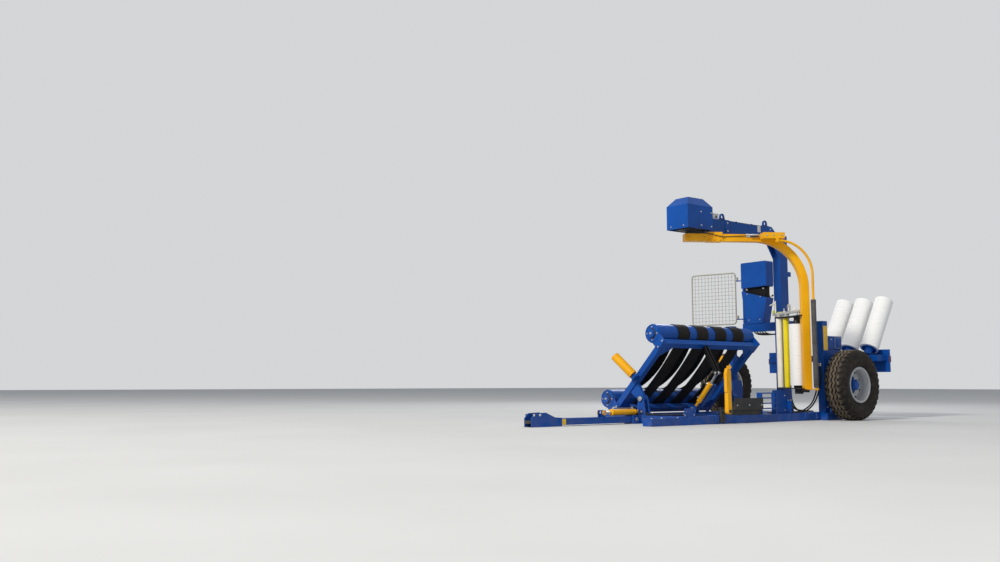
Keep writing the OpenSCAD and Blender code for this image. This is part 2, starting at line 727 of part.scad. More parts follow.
module drawbar_sign() color(yellow) {
    box([2140, 50, 15], [2195, 53, 75]);
}

module on_draw() {
    translate([draw_base_x, 0, draw_cyl_z]) children();
}

module drawbar_barrel() color(yellow) on_draw() cylinder_barrel(34, 15 + fit, 68, 430);

module drawbar_rod() color(silver) on_draw() cylinder_rod(15, 200, draw_lug_x - draw_base_x);

// Hinged wire guard beside the console

module mesh_guard() color(silver) {
    translate(guard_place) rotate([0, 0, guard_turn]) {
        for (z = [0, guard_h - 20]) box([16, -10, z], [guard_len, 10, z + 20]);
        for (x = [16, guard_len - 20]) box([x, -10, 0], [x + 20, 10, guard_h]);
        for (i = [1 : 13]) box([16 + i * guard_step, -3, 10], [20 + i * guard_step, 3, guard_h - 10]);
        for (i = [1 : 14]) box([30, -3, i * guard_step], [guard_len - 10, 3, i * guard_step + 4]);
        for (z = [80, guard_h - 120]) difference() {
            union() {
                translate([0, 0, z]) cylinder(h = 40, r = 16);
                box([0, -8, z], [20, 8, z + 40]);
            }
            translate([0, 0, z - 1]) cylinder(h = 42, r = 8 + fit);
        }
    }
}

base_frame();
pivot_brackets();
side_uprights();
axle_stubs();
mast();
boom();
drive_hood();
arm_bearing();
film_rack();
spare_rolls();
console_box();
console_hood();
tail_lamps();
marker_plates();
film_clamp();
film_guide();
base_hoses();
translate([-wheel_x, wheel_y, wheel_z]) tyre();  // left_tyre
translate([-wheel_x, wheel_y, wheel_z]) rim();  // left_rim
translate([-wheel_x, wheel_y, wheel_z]) hub();  // left_hub
translate([-wheel_x, -wheel_y, wheel_z]) tyre();  // right_tyre
translate([-wheel_x, -wheel_y, wheel_z]) rotate([0, 0, 180]) rim();  // right_rim
translate([-wheel_x, -wheel_y, wheel_z]) rotate([0, 0, 180]) hub();  // right_hub
arm_hub();
wrap_arm();
safety_bar();
safety_sleeve();
stretcher_frame();
film_roll();
front_stretch_roller();
rear_stretch_roller();
table_frame();
roller_ends();
belt_rollers();
belts();
front_guide_roller();
rear_guide_roller();
tip_barrel();
tip_rod();
drawbar();
drawbar_eye();
drawbar_sign();
drawbar_barrel();
drawbar_rod();
mesh_guard();
hold_lever();
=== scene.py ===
"""Looks of the bale wrapper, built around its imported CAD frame. Metres, +X forward, +Y left, +Z up."""
import json
import math
import bpy
import bmesh
from mathutils import Matrix, Vector


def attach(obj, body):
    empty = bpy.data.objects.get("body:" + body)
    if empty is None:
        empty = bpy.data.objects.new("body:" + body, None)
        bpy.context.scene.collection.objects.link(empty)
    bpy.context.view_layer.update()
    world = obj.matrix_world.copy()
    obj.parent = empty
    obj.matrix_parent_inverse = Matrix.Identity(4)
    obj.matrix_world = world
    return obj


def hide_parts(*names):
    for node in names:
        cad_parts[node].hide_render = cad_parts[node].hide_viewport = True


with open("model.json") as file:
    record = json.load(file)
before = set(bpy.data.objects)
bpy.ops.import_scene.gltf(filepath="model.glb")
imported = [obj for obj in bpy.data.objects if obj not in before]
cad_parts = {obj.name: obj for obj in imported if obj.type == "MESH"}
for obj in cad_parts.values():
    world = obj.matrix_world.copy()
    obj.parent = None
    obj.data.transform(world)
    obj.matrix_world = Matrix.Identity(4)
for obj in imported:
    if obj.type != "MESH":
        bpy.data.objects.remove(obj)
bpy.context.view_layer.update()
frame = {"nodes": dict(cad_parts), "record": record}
nodes = frame["nodes"]
scene = bpy.context.scene

# Camera: the photograph's low viewing point, ahead of the machine on its left

FOCAL, HORIZON, PHOTO_WIDTH = 950, 102, 1000  # pixels: focal length, the horizon below the middle, the width
HEADING = (-0.6018, -0.7986)
cam_data = bpy.data.cameras.new("camera")
cam_data.sensor_width = 36.0
cam_data.lens = cam_data.sensor_width * FOCAL / PHOTO_WIDTH
cam_data.clip_start, cam_data.clip_end = 0.1, 200
cam = bpy.data.objects.new("camera", cam_data)
scene.collection.objects.link(cam)
cam.location = (8.7535, 7.6782, 0.45)
pitch = math.atan2(HORIZON, FOCAL)
look = Vector((HEADING[0] * math.cos(pitch), HEADING[1] * math.cos(pitch), math.sin(pitch)))
cam.rotation_mode = "QUATERNION"
cam.rotation_quaternion = look.to_track_quat("-Z", "Y")
scene.camera = cam

# Directions, and places shared with the CAD source

X, Y, Z = Vector((1, 0, 0)), Vector((0, 1, 0)), Vector((0, 0, 1))
WHEEL_X, WHEEL_Y, WHEEL_Z = -1.67, 0.968, 0.4275
TABLE_PIVOT, TUBE_UNDERSIDE, SQ = (0, -0.14, 0.27), 0.4485, 0.70711
BEARING_X, ROLLER_Y, ROLLER_Z = 0.846, 0.530, 0.650
TIP_X = 0.110
TIP_FOOT, DRAW_FOOT, DRAW_ROD_EYE = (TIP_X, 0.020, 0.150), (1.010, 0, 0.128), 0.570
FILM_ROLL, REAR_STRETCH, FRONT_STRETCH = (1.305, 0.200), (1.226, 0.360), (1.168, 0.440)
SAFETY_BAR, SPRING_POST, STRETCH_TOP = (1.372, -0.165), (1.250, 0.300), 1.272
STOP, LEVERS = (-1.8800, -0.410, 1.52), [-0.600 + 0.060 * k for k in range(5)]
CORE_R = 0.0385  # of the film rolls' card cores
AXIS = 0.0005  # radius for the points of a turned piece that lie on its axis
ARM = Matrix.Rotation(math.radians(147), 4, "Z")
TABLE = (Matrix.Translation(TABLE_PIVOT) @ Matrix.Rotation(math.radians(45), 4, "X")
         @ Matrix.Translation(-Vector(TABLE_PIVOT)))
TIP = (Matrix.Translation(TIP_FOOT) @ Matrix.Rotation(math.radians(48.95333), 4, "X")
       @ Matrix.Rotation(math.radians(90), 4, "Z"))
HITCH = Matrix.Translation(DRAW_FOOT)
GUARD = Matrix.Translation((-1.750, -0.800, 1.250)) @ Matrix.Rotation(math.radians(-76), 4, "Z")
ACROSS = Matrix(((0, 0, 1, 0), (1, 0, 0, 0), (0, 1, 0, 0), (0, 0, 0, 1)))  # outlines in Y and Z, raised along X
BLUE = (0, 74, 158)

# Materials


def rgb(r, g, b):
    """Linear colour from 0..255 screen values."""
    out = []
    for v in (r, g, b):
        v /= 255
        out.append(v / 12.92 if v <= 0.04045 else ((v + 0.055) / 1.055) ** 2.4)
    return (*out, 1.0)


class Mat:
    """A small builder of node materials."""

    def __init__(self, name):
        self.m = bpy.data.materials.new(name)
        self.m.use_nodes = True
        self.nt = self.m.node_tree
        self.nt.nodes.clear()
        self.out = self.nt.nodes.new("ShaderNodeOutputMaterial")
        self.bsdf = self.nt.nodes.new("ShaderNodeBsdfPrincipled")
        self.nt.links.new(self.bsdf.outputs[0], self.out.inputs[0])
        self.coord = self.nt.nodes.new("ShaderNodeTexCoord").outputs["Object"]

    def node(self, kind, **props):
        n = self.nt.nodes.new(kind)
        for k, v in props.items():
            setattr(n, k, v)
        return n

    def link(self, a, b):
        self.nt.links.new(a, b)

    def put(self, socket, value):
        """Links another node's output to a socket, or sets its value."""
        if hasattr(value, "is_output"):
            self.link(value, socket)
        else:
            socket.default_value = value

    def noise(self, scale, detail=4, rough=0.55, stretch=None):
        n = self.node("ShaderNodeTexNoise")
        n.inputs["Scale"].default_value = scale
        n.inputs["Detail"].default_value = detail
        n.inputs["Roughness"].default_value = rough
        vec = self.coord
        if stretch:
            mp = self.node("ShaderNodeMapping")
            mp.inputs["Scale"].default_value = stretch
            self.link(vec, mp.inputs["Vector"])
            vec = mp.outputs[0]
        self.link(vec, n.inputs["Vector"])
        return n.outputs["Fac"]

    def range(self, value, a, b, c=0.0, d=1.0):
        """Maps a..b to c..d, held at both ends."""
        n = self.node("ShaderNodeMapRange")
        n.clamp = True
        self.link(value, n.inputs["Value"])
        for k, v in zip(("From Min", "From Max", "To Min", "To Max"), (a, b, c, d)):
            n.inputs[k].default_value = v
        return n.outputs[0]

    def math(self, op, a, b):
        n = self.node("ShaderNodeMath", operation=op)
        self.put(n.inputs[0], a)
        self.put(n.inputs[1], b)
        return n.outputs[0]

    def mix(self, fac, a, b):
        n = self.node("ShaderNodeMix", data_type="RGBA")
        self.put(n.inputs["Factor"], fac)
        self.put(n.inputs[6], a)
        self.put(n.inputs[7], b)
        return n.outputs[2]

    def z(self):
        s = self.node("ShaderNodeSeparateXYZ")
        self.link(self.coord, s.inputs[0])
        return s.outputs["Z"]

    def below_table_tubes(self):
        """1 on the tipping cylinder's lugs, below the tipped table's tubes: the mask for the painted shade there."""
        low = self.node("ShaderNodeVectorMath", operation="DOT_PRODUCT")
        self.link(self.coord, low.inputs[0])
        low.inputs[1].default_value = (0, -SQ, SQ)
        edge = TUBE_UNDERSIDE - TABLE_PIVOT[2] + SQ * (TABLE_PIVOT[2] - TABLE_PIVOT[1])
        across = self.node("ShaderNodeSeparateXYZ")
        self.link(self.coord, across.inputs[0])
        near = self.node("ShaderNodeMath", operation="COMPARE")
        self.link(across.outputs["X"], near.inputs[0])
        near.inputs[1].default_value, near.inputs[2].default_value = TIP_X, 0.05
        return self.math("MULTIPLY", self.math("LESS_THAN", low.outputs["Value"], edge), near.outputs[0])

    def bump(self, height, strength=0.2, dist=0.001, bevel=0.0):
        n = self.node("ShaderNodeBump")
        n.inputs["Strength"].default_value = strength
        n.inputs["Distance"].default_value = dist
        self.link(height, n.inputs["Height"])
        if bevel:
            b = self.node("ShaderNodeBevel", samples=4)
            b.inputs["Radius"].default_value = bevel
            self.link(b.outputs[0], n.inputs["Normal"])
        self.link(n.outputs[0], self.bsdf.inputs["Normal"])


def paint(name, colour, rough=0.36, dust=0.16, chip=0.35, shaded_lugs=False):
    """Sprayed steel: faint orange peel, sun-faded patches, dust low down, worn edges. Where asked, the lugs under the
    table's tubes get painted shade, near black.
    """
    m = Mat(name)
    faded = tuple(min(1, c * 1.12 + 0.003) for c in colour[:3]) + (1,)
    deep = tuple(c * 0.82 for c in colour[:3]) + (1,)
    tone = m.mix(m.range(m.noise(2.3, 5), 0.3, 0.7), deep, faded)
    edge_n = m.node("ShaderNodeBevel", samples=4)
    edge_n.inputs["Radius"].default_value = 0.006
    geo = m.node("ShaderNodeNewGeometry")
    dot = m.node("ShaderNodeVectorMath", operation="DOT_PRODUCT")
    m.link(edge_n.outputs[0], dot.inputs[0])
    m.link(geo.outputs["Normal"], dot.inputs[1])
    edge = m.range(dot.outputs["Value"], 0.99, 0.80)
    worn = m.math("MULTIPLY", edge, m.range(m.noise(38, 3), 0.50, 0.62, 0, chip))
    tone = m.mix(worn, tone, tuple(min(1, c * 0.5 + 0.22) for c in colour[:3]) + (1,))
    low = m.math("MULTIPLY", m.range(m.z(), 0.45, 0.0), m.range(m.noise(9, 6, 0.6), 0.38, 0.66))
    film = m.math("ADD", m.math("MULTIPLY", low, dust), m.range(m.noise(16, 6, 0.65), 0.55, 0.8, 0, 0.03))
    tone = m.mix(film, tone, rgb(150, 128, 96))
    if shaded_lugs:
        # Painted shade: the lugs under the table's tubes turned near black.
        tone = m.mix(m.below_table_tubes(), tone, rgb(17, 18, 20))
    m.link(tone, m.bsdf.inputs["Base Color"])
    m.bsdf.inputs["Specular IOR Level"].default_value = 0.22
    sheen = m.range(m.noise(60, 2), 0.3, 0.7, rough - 0.05, rough + 0.07)
    m.link(m.math("ADD", m.math("MULTIPLY", film, 0.45), sheen), m.bsdf.inputs["Roughness"])
    m.bump(m.noise(220, 2), 0.10, 0.0006, bevel=0.004)
    return m.m


def metal(name, colour, rough, streak=None, scale=90, grime=0.25):
    """Bare or plated metal with grime in patches, drawn out along its length where streak says so."""
    m = Mat(name)
    n = m.noise(scale, 4, stretch=streak or (1, 1, 1))
    tone = m.mix(m.range(n, 0.35, 0.65), tuple(c * 0.82 for c in colour[:3]) + (1,), colour)
    tone = m.mix(m.range(m.noise(11, 6), 0.52, 0.72, 0, grime), tone, rgb(88, 76, 62))
    m.link(tone, m.bsdf.inputs["Base Color"])
    m.bsdf.inputs["Metallic"].default_value = 1.0
    m.link(m.range(n, 0.3, 0.7, rough - 0.06, rough + 0.08), m.bsdf.inputs["Roughness"])
    m.bump(n, 0.12, 0.0004, bevel=0.0015)
    return m.m


def plastic(name, colour, rough=0.4, grain=180, coat=0.0):
    """Moulded plastic, a little uneven in colour and gloss."""
    m = Mat(name)
    tone = m.mix(m.range(m.noise(7, 5), 0.35, 0.7), tuple(c * 0.86 for c in colour[:3]) + (1,), colour)
    m.link(tone, m.bsdf.inputs["Base Color"])
    m.link(m.range(m.noise(30, 3), 0.3, 0.7, rough - 0.05, rough + 0.07), m.bsdf.inputs["Roughness"])
    m.bsdf.inputs["Coat Weight"].default_value = coat
    m.bump(m.noise(grain, 3), 0.1, 0.0005, bevel=0.001)
    return m.m


def rubber(name, colour, dust, dust_colour, rough=0.72, hub=None):
    """Rubber with dust in it. A hub gives the wheel's centre, and the tread round it gets pale patches, which are dust
    and also a painted highlight of sunlit tread blocks.
    """
    m = Mat(name)
    tone = m.mix(m.range(m.noise(5, 5), 0.3, 0.7), colour, tuple(c * 1.7 + 0.004 for c in colour[:3]) + (1,))
    tone = m.mix(m.range(m.noise(19, 7, 0.68), 0.44, 0.74, 0, dust), tone, dust_colour)
    if hub:
        flat = m.node("ShaderNodeVectorMath", operation="MULTIPLY")
        m.link(m.coord, flat.inputs[0])
        flat.inputs[1].default_value = (1, 0, 1)
        out = m.node("ShaderNodeVectorMath", operation="DISTANCE")
        m.link(flat.outputs[0], out.inputs[0])
        out.inputs[1].default_value = hub
        # Pale patches on the tread's outer faces: dust, and a painted highlight of sun on the tread blocks.
        crown = m.range(out.outputs["Value"], 0.416, 0.4262)
        patches = m.range(m.noise(12, 5), 0.30, 0.62, 0.25, 0.85)
        tone = m.mix(m.math("MULTIPLY", crown, patches), tone, rgb(112, 101, 86))
    m.link(tone, m.bsdf.inputs["Base Color"])
    m.bsdf.inputs["Specular IOR Level"].default_value = 0.22
    m.link(m.range(m.noise(24, 3), 0.3, 0.7, rough - 0.08, rough + 0.1), m.bsdf.inputs["Roughness"])
    m.bump(m.noise(260, 3), 0.25, 0.0009, bevel=0.002)
    return m.m


def film_plastic(name, colour):
    """Wound stretch film: glossy, with faint bands and wrinkles along the winding."""
    m = Mat(name)
    bands = m.noise(26, 5, 0.6, stretch=(0.35, 0.35, 5))
    tone = m.mix(m.range(bands, 0.35, 0.7), tuple(c * 0.95 for c in colour[:3]) + (1,), colour)
    tone = m.mix(m.range(m.noise(6, 6), 0.62, 0.85, 0, 0.10), tone, rgb(190, 182, 166))
    m.link(tone, m.bsdf.inputs["Base Color"])
    m.link(m.range(bands, 0.3, 0.7, 0.22, 0.4), m.bsdf.inputs["Roughness"])
    m.bsdf.inputs["Coat Weight"].default_value = 0.3
    m.bsdf.inputs["Coat Roughness"].default_value = 0.2
    m.bump(m.math("ADD", bands, m.noise(60, 4, 0.6, stretch=(1, 1, 0.25))), 0.28, 0.0022, bevel=0.003)
    return m.m


def rough_foam(name, colour):
    """Foam with open pores."""
    m = Mat(name)
    pores = m.node("ShaderNodeTexVoronoi")
    pores.inputs["Scale"].default_value = 420
    m.link(m.coord, pores.inputs["Vector"])
    tone = m.mix(m.range(m.noise(14, 5), 0.35, 0.68), colour, tuple(c * 1.5 for c in colour[:3]) + (1,))
    m.link(tone, m.bsdf.inputs["Base Color"])
    m.link(m.range(m.noise(40, 3), 0.3, 0.7, 0.82, 0.95), m.bsdf.inputs["Roughness"])
    m.bump(pores.outputs["Distance"], 0.4, 0.0012, bevel=0.002)
    return m.m


blue = paint("blue_paint", rgb(*BLUE))
yellow = paint("yellow_paint", rgb(252, 176, 8), rough=0.34, chip=0.25)
lemon = plastic("lemon_rubber", rgb(250, 226, 6), 0.38, grain=120)
cream = plastic("cream_plastic", rgb(248, 243, 228), 0.36, grain=120)
# Black for the block of painted shade under the console's cover.
black = plastic("gap_shade_black", rgb(9, 9, 10), 0.6)
black.node_tree.nodes["Principled BSDF"].inputs["Specular IOR Level"].default_value = 0.2
lime = plastic("lime_plastic", rgb(176, 190, 20), 0.4, grain=120)
silver = paint("silver_paint", rgb(188, 190, 192), rough=0.42, dust=0.6, chip=0.2)
castgrey = paint("grey_casting", rgb(48, 51, 55), rough=0.5)
dark = plastic("dark_plastic", rgb(28, 28, 30), 0.45)
steel = metal("bare_steel", rgb(196, 198, 200), 0.28, streak=(1, 1, 0.05), scale=140)
zinc = metal("zinc_plated", rgb(214, 212, 205), 0.36, scale=60, grime=0.3)
chrome = metal("chromed_rod", rgb(226, 228, 230), 0.10, scale=120, grime=0.08)
belt = rubber("belt_rubber", rgb(9, 9, 9), 0.18, rgb(70, 60, 48), rough=0.66)
tyre_mat = rubber("tyre_rubber", rgb(20, 18, 17), 0.4, rgb(92, 78, 60), hub=(WHEEL_X, 0, WHEEL_Z))
hose_mat = rubber("hose_rubber", rgb(20, 20, 21), 0.3, rgb(90, 82, 70), rough=0.5)
film = film_plastic("film_plastic", rgb(250, 250, 248))
core_mat = plastic("card_core", rgb(158, 124, 84), 0.8, grain=90)
foam = rough_foam("grey_foam", rgb(72, 70, 70))
wire = paint("zinc_wire", rgb(170, 167, 155), rough=0.45, dust=0.1, chip=0.1)
lamp = plastic("lamp_plastic", rgb(200, 40, 18), 0.18, grain=60, coat=0.6)
amber = plastic("amber_plastic", rgb(232, 120, 14), 0.18, grain=60, coat=0.6)
clear = plastic("clear_plastic", rgb(225, 226, 222), 0.15, grain=60, coat=0.6)
marker = plastic("marker_yellow", rgb(255, 204, 24), 0.4, coat=0.2)
white = plastic("white_plastic", rgb(222, 222, 218), 0.4)

# The table frame's blue, with painted shade on the lugs under its tubes.
table_blue = paint("blue_paint_dark_lugs", rgb(*BLUE), shaded_lugs=True)

slots = {"blue_paint": blue, "yellow_paint": yellow, "belt_rubber": belt, "tyre_rubber": tyre_mat,
         "silver_paint": silver, "bare_steel": steel, "chromed_rod": chrome, "grey_casting": castgrey,
         "film_plastic": film, "grey_foam": foam, "lamp_plastic": lamp, "marker_yellow": marker,
         "zinc_wire": wire, "hose_rubber": hose_mat}
for part in frame["record"]["subparts"]:
    o = nodes[part["node"]]
    o.data.materials.clear()
    o.data.materials.append(slots[part["material_slot"]])
nodes["rear_stretch_roller"].data.materials[0] = lemon
nodes["front_stretch_roller"].data.materials[0] = cream
nodes["stretcher_frame"].data.materials[0] = castgrey
nodes["table_frame"].data.materials[0] = table_blue

# Mesh helpers


def make(name, bm, mats, body, smooth=35):
    """A finished piece from a bmesh: one or more materials, shaded smooth by angle, riding on a body."""
    me = bpy.data.meshes.new(name)
    bmesh.ops.recalc_face_normals(bm, faces=bm.faces)
    bm.to_mesh(me)
    bm.free()
    for m in (mats if isinstance(mats, (list, tuple)) else [mats]):
        me.materials.append(m)
    o = bpy.data.objects.new(name, me)
    scene.collection.objects.link(o)
    me.polygons.foreach_set("use_smooth", [True] * len(me.polygons))
    me.set_sharp_from_angle(angle=math.radians(smooth))
    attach(o, body)
    return o


def frame_of(axis):
    """A rotation that turns +Z to the axis."""
    return Z.rotation_difference(Vector(axis).normalized()).to_matrix().to_4x4()


def lathe(bm, profile, seg, place, mat=0):
    """Turns (radius, height) points about the axis of the placement matrix."""
    rings = []
    for i in range(seg):
        a = 2 * math.pi * i / seg
        rings.append([bm.verts.new(place @ Vector((r * math.cos(a), r * math.sin(a), h))) for r, h in profile])
    n = len(profile)
    for i in range(seg):
        p, q = rings[i], rings[(i + 1) % seg]
        for j in range(n):
            k = (j + 1) % n
            f = bm.faces.new((p[j], q[j], q[k], p[k]))
            f.material_index = mat


def prism(bm, points, place, h, mat=0, bevel=0.0):
    """An outline in the placement's XY plane, raised by h and chamfered on top."""
    def ring(pts, z):
        return [bm.verts.new(place @ Vector((x, y, z))) for x, y in pts]
    rings = [ring(points, 0)]
    if bevel:
        cx = sum(p[0] for p in points) / len(points)
        cy = sum(p[1] for p in points) / len(points)
        span = max(math.hypot(x - cx, y - cy) for x, y in points)
        k = 1 - bevel / span
        rings += [ring(points, h - bevel), ring([(cx + (x - cx) * k, cy + (y - cy) * k) for x, y in points], h)]
    else:
        rings.append(ring(points, h))
    n = len(points)
    for a, b in zip(rings, rings[1:]):
        for i in range(n):
            bm.faces.new((a[i], a[(i + 1) % n], b[(i + 1) % n], b[i])).material_index = mat
    bm.faces.new(list(reversed(rings[0]))).material_index = mat
    bm.faces.new(rings[-1]).material_index = mat


def bolt(bm, at, axis, size=0.008, mat=0):
    """A hexagon head on a washer, standing on the surface at a point."""
    m = Matrix.Translation(Vector(at)) @ frame_of(axis)
    w = size * 1.25
    lathe(bm, [(AXIS, 0), (w, 0), (w, size * 0.18), (w * 0.96, size * 0.24), (AXIS, size * 0.24)], 16, m, mat)
    hexagon = [(size * math.cos(math.pi / 3 * k), size * math.sin(math.pi / 3 * k)) for k in range(6)]
    prism(bm, hexagon, m @ Matrix.Translation((0, 0, size * 0.2)), size * 0.72, mat, bevel=size * 0.14)


def slab(bm, a, b, bevel=0.003, mat=0, place=None):
    """A box with chamfered edges between two corners."""
    a, b = Vector(map(min, zip(a, b))), Vector(map(max, zip(a, b)))
    g = bmesh.ops.create_cube(bm, size=1.0)
    vs = g["verts"]
    for v in vs:
        v.co = Vector([(a[i] + b[i]) / 2 + v.co[i] * (b[i] - a[i]) for i in range(3)])
    faces = {f for v in vs for f in v.link_faces}
    edges = list({e for f in faces for e in f.edges})
    if bevel:
        res = bmesh.ops.bevel(bm, geom=edges, offset=bevel, segments=2, profile=0.6, affect="EDGES")
        faces = {f for f in res["faces"]} | {f for f in faces if f.is_valid}
        vs = list({v for f in faces for v in f.verts})
    for f in faces:
        f.material_index = mat
    if place is not None:
        for v in vs:
            v.co = place @ v.co


def tube(bm, path, r, sides=10, cap=True):
    """A round tube swept along a path of points, with one radius or one for each point."""
    pts = [Vector(p) for p in path]
    rings, up = [], None
    for i, p in enumerate(pts):
        d = (pts[min(i + 1, len(pts) - 1)] - pts[max(i - 1, 0)]).normalized()
        if up is None:
            up = Z if abs(d.z) < 0.9 else X
        up = (up - d * up.dot(d)).normalized()
        side = d.cross(up)
        rr = r[i] if isinstance(r, (list, tuple)) else r
        rings.append([bm.verts.new(p + (up * math.cos(t) + side * math.sin(t)) * rr)
                      for t in [2 * math.pi * k / sides for k in range(sides)]])
    for a, b in zip(rings, rings[1:]):
        for k in range(sides):
            bm.faces.new((a[k], b[k], b[(k + 1) % sides], a[(k + 1) % sides]))
    if cap:
        bm.faces.new(rings[0])
        bm.faces.new(list(reversed(rings[-1])))


def smooth_path(points, steps=8):
    """Catmull-Rom points through the given ones."""
    p = [Vector(q) for q in points]
    p = [p[0] * 2 - p[1]] + p + [p[-1] * 2 - p[-2]]
    out = []
    for i in range(1, len(p) - 2):
        for k in range(steps):
            t = k / steps
            out.append(0.5 * ((2 * p[i]) + (p[i + 1] - p[i - 1]) * t
                              + (2 * p[i - 1] - 5 * p[i] + 4 * p[i + 1] - p[i + 2]) * t * t
                              + (3 * p[i] - p[i - 1] - 3 * p[i + 1] + p[i + 2]) * t ** 3))
    out.append(p[-2])
    return out


def placed(place, points):
    """The points, moved by a placement."""
    return [place @ Vector(p) for p in points]


# Tyres: zig-zag ribs with lugs over the shoulders


def tyre(name, side, body, node):
    """Columns of (radius, place across the tread, wave, shoulder or not), turned round the wheel in short steps."""
    bm = bmesh.new()
    half = [(0.203, 0.085), (0.214, 0.098), (0.224, 0.1035), (0.232, 0.1045), (0.240, 0.112), (0.262, 0.123),
            (0.285, 0.1285), (0.303, 0.130), (0.325, 0.1290), (0.343, 0.1262), (0.350, 0.1278), (0.357, 0.1255),
            (0.372, 0.1225)]
    crown = [(0.3910, 0.1195), (0.4040, 0.1140), (0.4150, 0.1040), (0.4220, 0.0920), (0.4250, 0.0790)]
    top, deep, wave, shoulder_cut = 0.4268, 0.017, 0.010, 0.016
    cols = [(r, -y, 0, 0) for r, y in half] + [(r, -y, 0, 1) for r, y in crown]
    for c in (-0.049, 0.0, 0.049):
        cols += [(top, c - 0.0115, wave, 0), (top - deep, c - 0.006, wave, 0), (top - deep, c + 0.006, wave, 0),
                 (top, c + 0.0115, wave, 0), (top + 0.0004, c + 0.0245, wave * 0.5, 0)]
    cols.pop()
    cols += [(r, y, 0, 1) for r, y in reversed(crown)] + [(r, y, 0, 0) for r, y in reversed(half)]
    fractions = (0.0, 0.07, 0.25, 0.43, 0.5, 0.57, 0.75, 0.93)
    cut = {-1: (0.0, 1.0, 1.0, 1.0, 0.0, 0.0, 0.0, 0.0), 1: (0.0, 0.0, 0.0, 0.0, 0.0, 1.0, 1.0, 1.0)}
    zig = (0.0, 0.28, 1.0, 0.28, 0.0, -0.28, -1.0, -0.28)
    centre = Vector((WHEEL_X, WHEEL_Y * side, WHEEL_Z))
    rings, periods = [], 34
    for p in range(periods):
        for k, f in enumerate(fractions):
            ring = []
            for r, y, swing, shoulder in cols:
                if shoulder:
                    fade = min(1.0, max(0.3, (0.125 - abs(y)) / 0.012))
                    r -= shoulder_cut * cut[1 if y > 0 else -1][k] * fade
                a = 2 * math.pi * (p + f) / periods
                ring.append(bm.verts.new(centre + Vector((r * math.cos(a), y + swing * zig[k], r * math.sin(a)))))
            rings.append(ring)
    n, m = len(rings), len(cols)
    for i in range(n):
        p, q = rings[i], rings[(i + 1) % n]
        for j in range(m):
            bm.faces.new((p[j], q[j], q[(j + 1) % m], p[(j + 1) % m]))
    o = make(name, bm, tyre_mat, body, smooth=28)
    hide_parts(node)


def wheel_trim(name, side, body):
    """Rolled rim edge, dished disc with dark spots painted as the shade in its hand holes, wheel nuts and a hub cap.
    Heights run outward from the tyre's middle.
    """
    place = Matrix.Translation((WHEEL_X, WHEEL_Y * side, WHEEL_Z)) @ frame_of(Y * side)
    bm = bmesh.new()
    lathe(bm, [(0.2055, 0.1085), (0.2085, 0.1050), (0.2135, 0.1040), (0.2170, 0.1080), (0.2150, 0.1125),
               (0.2090, 0.1130)], 72, place)
    lathe(bm, [(0.1912, 0.092), (0.1912, 0.022), (0.1850, 0.034), (0.1835, 0.056), (0.1870, 0.078)], 72, place)
    lathe(bm, [(0.1912, -0.0195), (0.1880, -0.0120), (0.1700, -0.0030), (0.1360, 0.0010), (0.1200, -0.0060),
               (0.1060, -0.0075), (0.1060, -0.0195)], 72, place)
    # Eight dark discs on the wheel disc: painted shade where hand holes would be.
    for k in range(8):
        a = 2 * math.pi * (k + 0.5) / 8
        lathe(bm, [(AXIS, 0.0), (0.0125, 0.0), (0.0125, 0.0022), (AXIS, 0.0022)], 18,
              place @ Matrix.Translation((0.157 * math.cos(a), 0.157 * math.sin(a), -0.0015)), 1)
    make(name + "_rim_trim", bm, [silver, dark], body)
    bm = bmesh.new()
    for k in range(6):
        a = 2 * math.pi * k / 6
        bolt(bm, place @ Vector((0.085 * math.cos(a), 0.085 * math.sin(a), 0.0058)), Y * side, 0.0125)
    tube(bm, placed(place, [(0.176, 0.03, h) for h in (-0.004, 0.02, 0.045)]), [0.004, 0.004, 0.003], 10)
    make(name + "_nuts", bm, zinc, body)
    bm = bmesh.new()
    lathe(bm, [(0.0661, 0.046), (0.0661, 0.0515), (0.0560, 0.0530), (0.0540, 0.0600), (0.0460, 0.0680),
               (AXIS, 0.0705), (AXIS, 0.046)], 48, place)
    lathe(bm, [(0.0661, 0.0195), (0.0760, 0.0085), (0.0661, 0.0085)], 48, place)
    make(name + "_cap", bm, blue, body)


for word, side in (("left", 1), ("right", -1)):
    tyre(word + "_tyre_tread", side, "wheel_" + word, word + "_tyre")
    wheel_trim(word, side, "wheel_" + word)

# Fasteners, one piece a body, from tables of place and direction

ARM_Y = ARM.to_3x3() @ Y
frame_bolts = []
for y in (-0.1, 0.1):
    frame_bolts += [((0.3158, y, 2.312), X, 0.008), ((-0.1278, y * 1.3, 2.50), -X, 0.008)]
for x in (-0.10, 0.08):
    for z in (2.325, 2.49):
        for sy in (-1, 1):
            frame_bolts.append(((x, sy * 0.1678, z), Y * sy, 0.008))
for x in (-0.496, -1.34):
    for sy in (-1, 1):
        frame_bolts += [((x, sy * 0.0878, z), Y * sy, 0.009) for z in (2.32, 2.42)]
for x in (-1.67, -1.55):
    for sy, y in ((1, 0.0938), (-1, -0.0438)):
        frame_bolts += [((x, y, 0.13), Y * sy, 0.010), ((x * 0.5 - 0.805, y, 0.23), Y * sy, 0.010)]
for y, z in ((-0.62, 1.655), (-0.40, 1.61), (-0.60, 1.30), (-0.42, 1.30)):
    frame_bolts.append(((-1.7298, y, z), X, 0.007))
for y in (-0.645, -0.375):
    frame_bolts.append(((-1.7675, y, 1.722), X, 0.011))
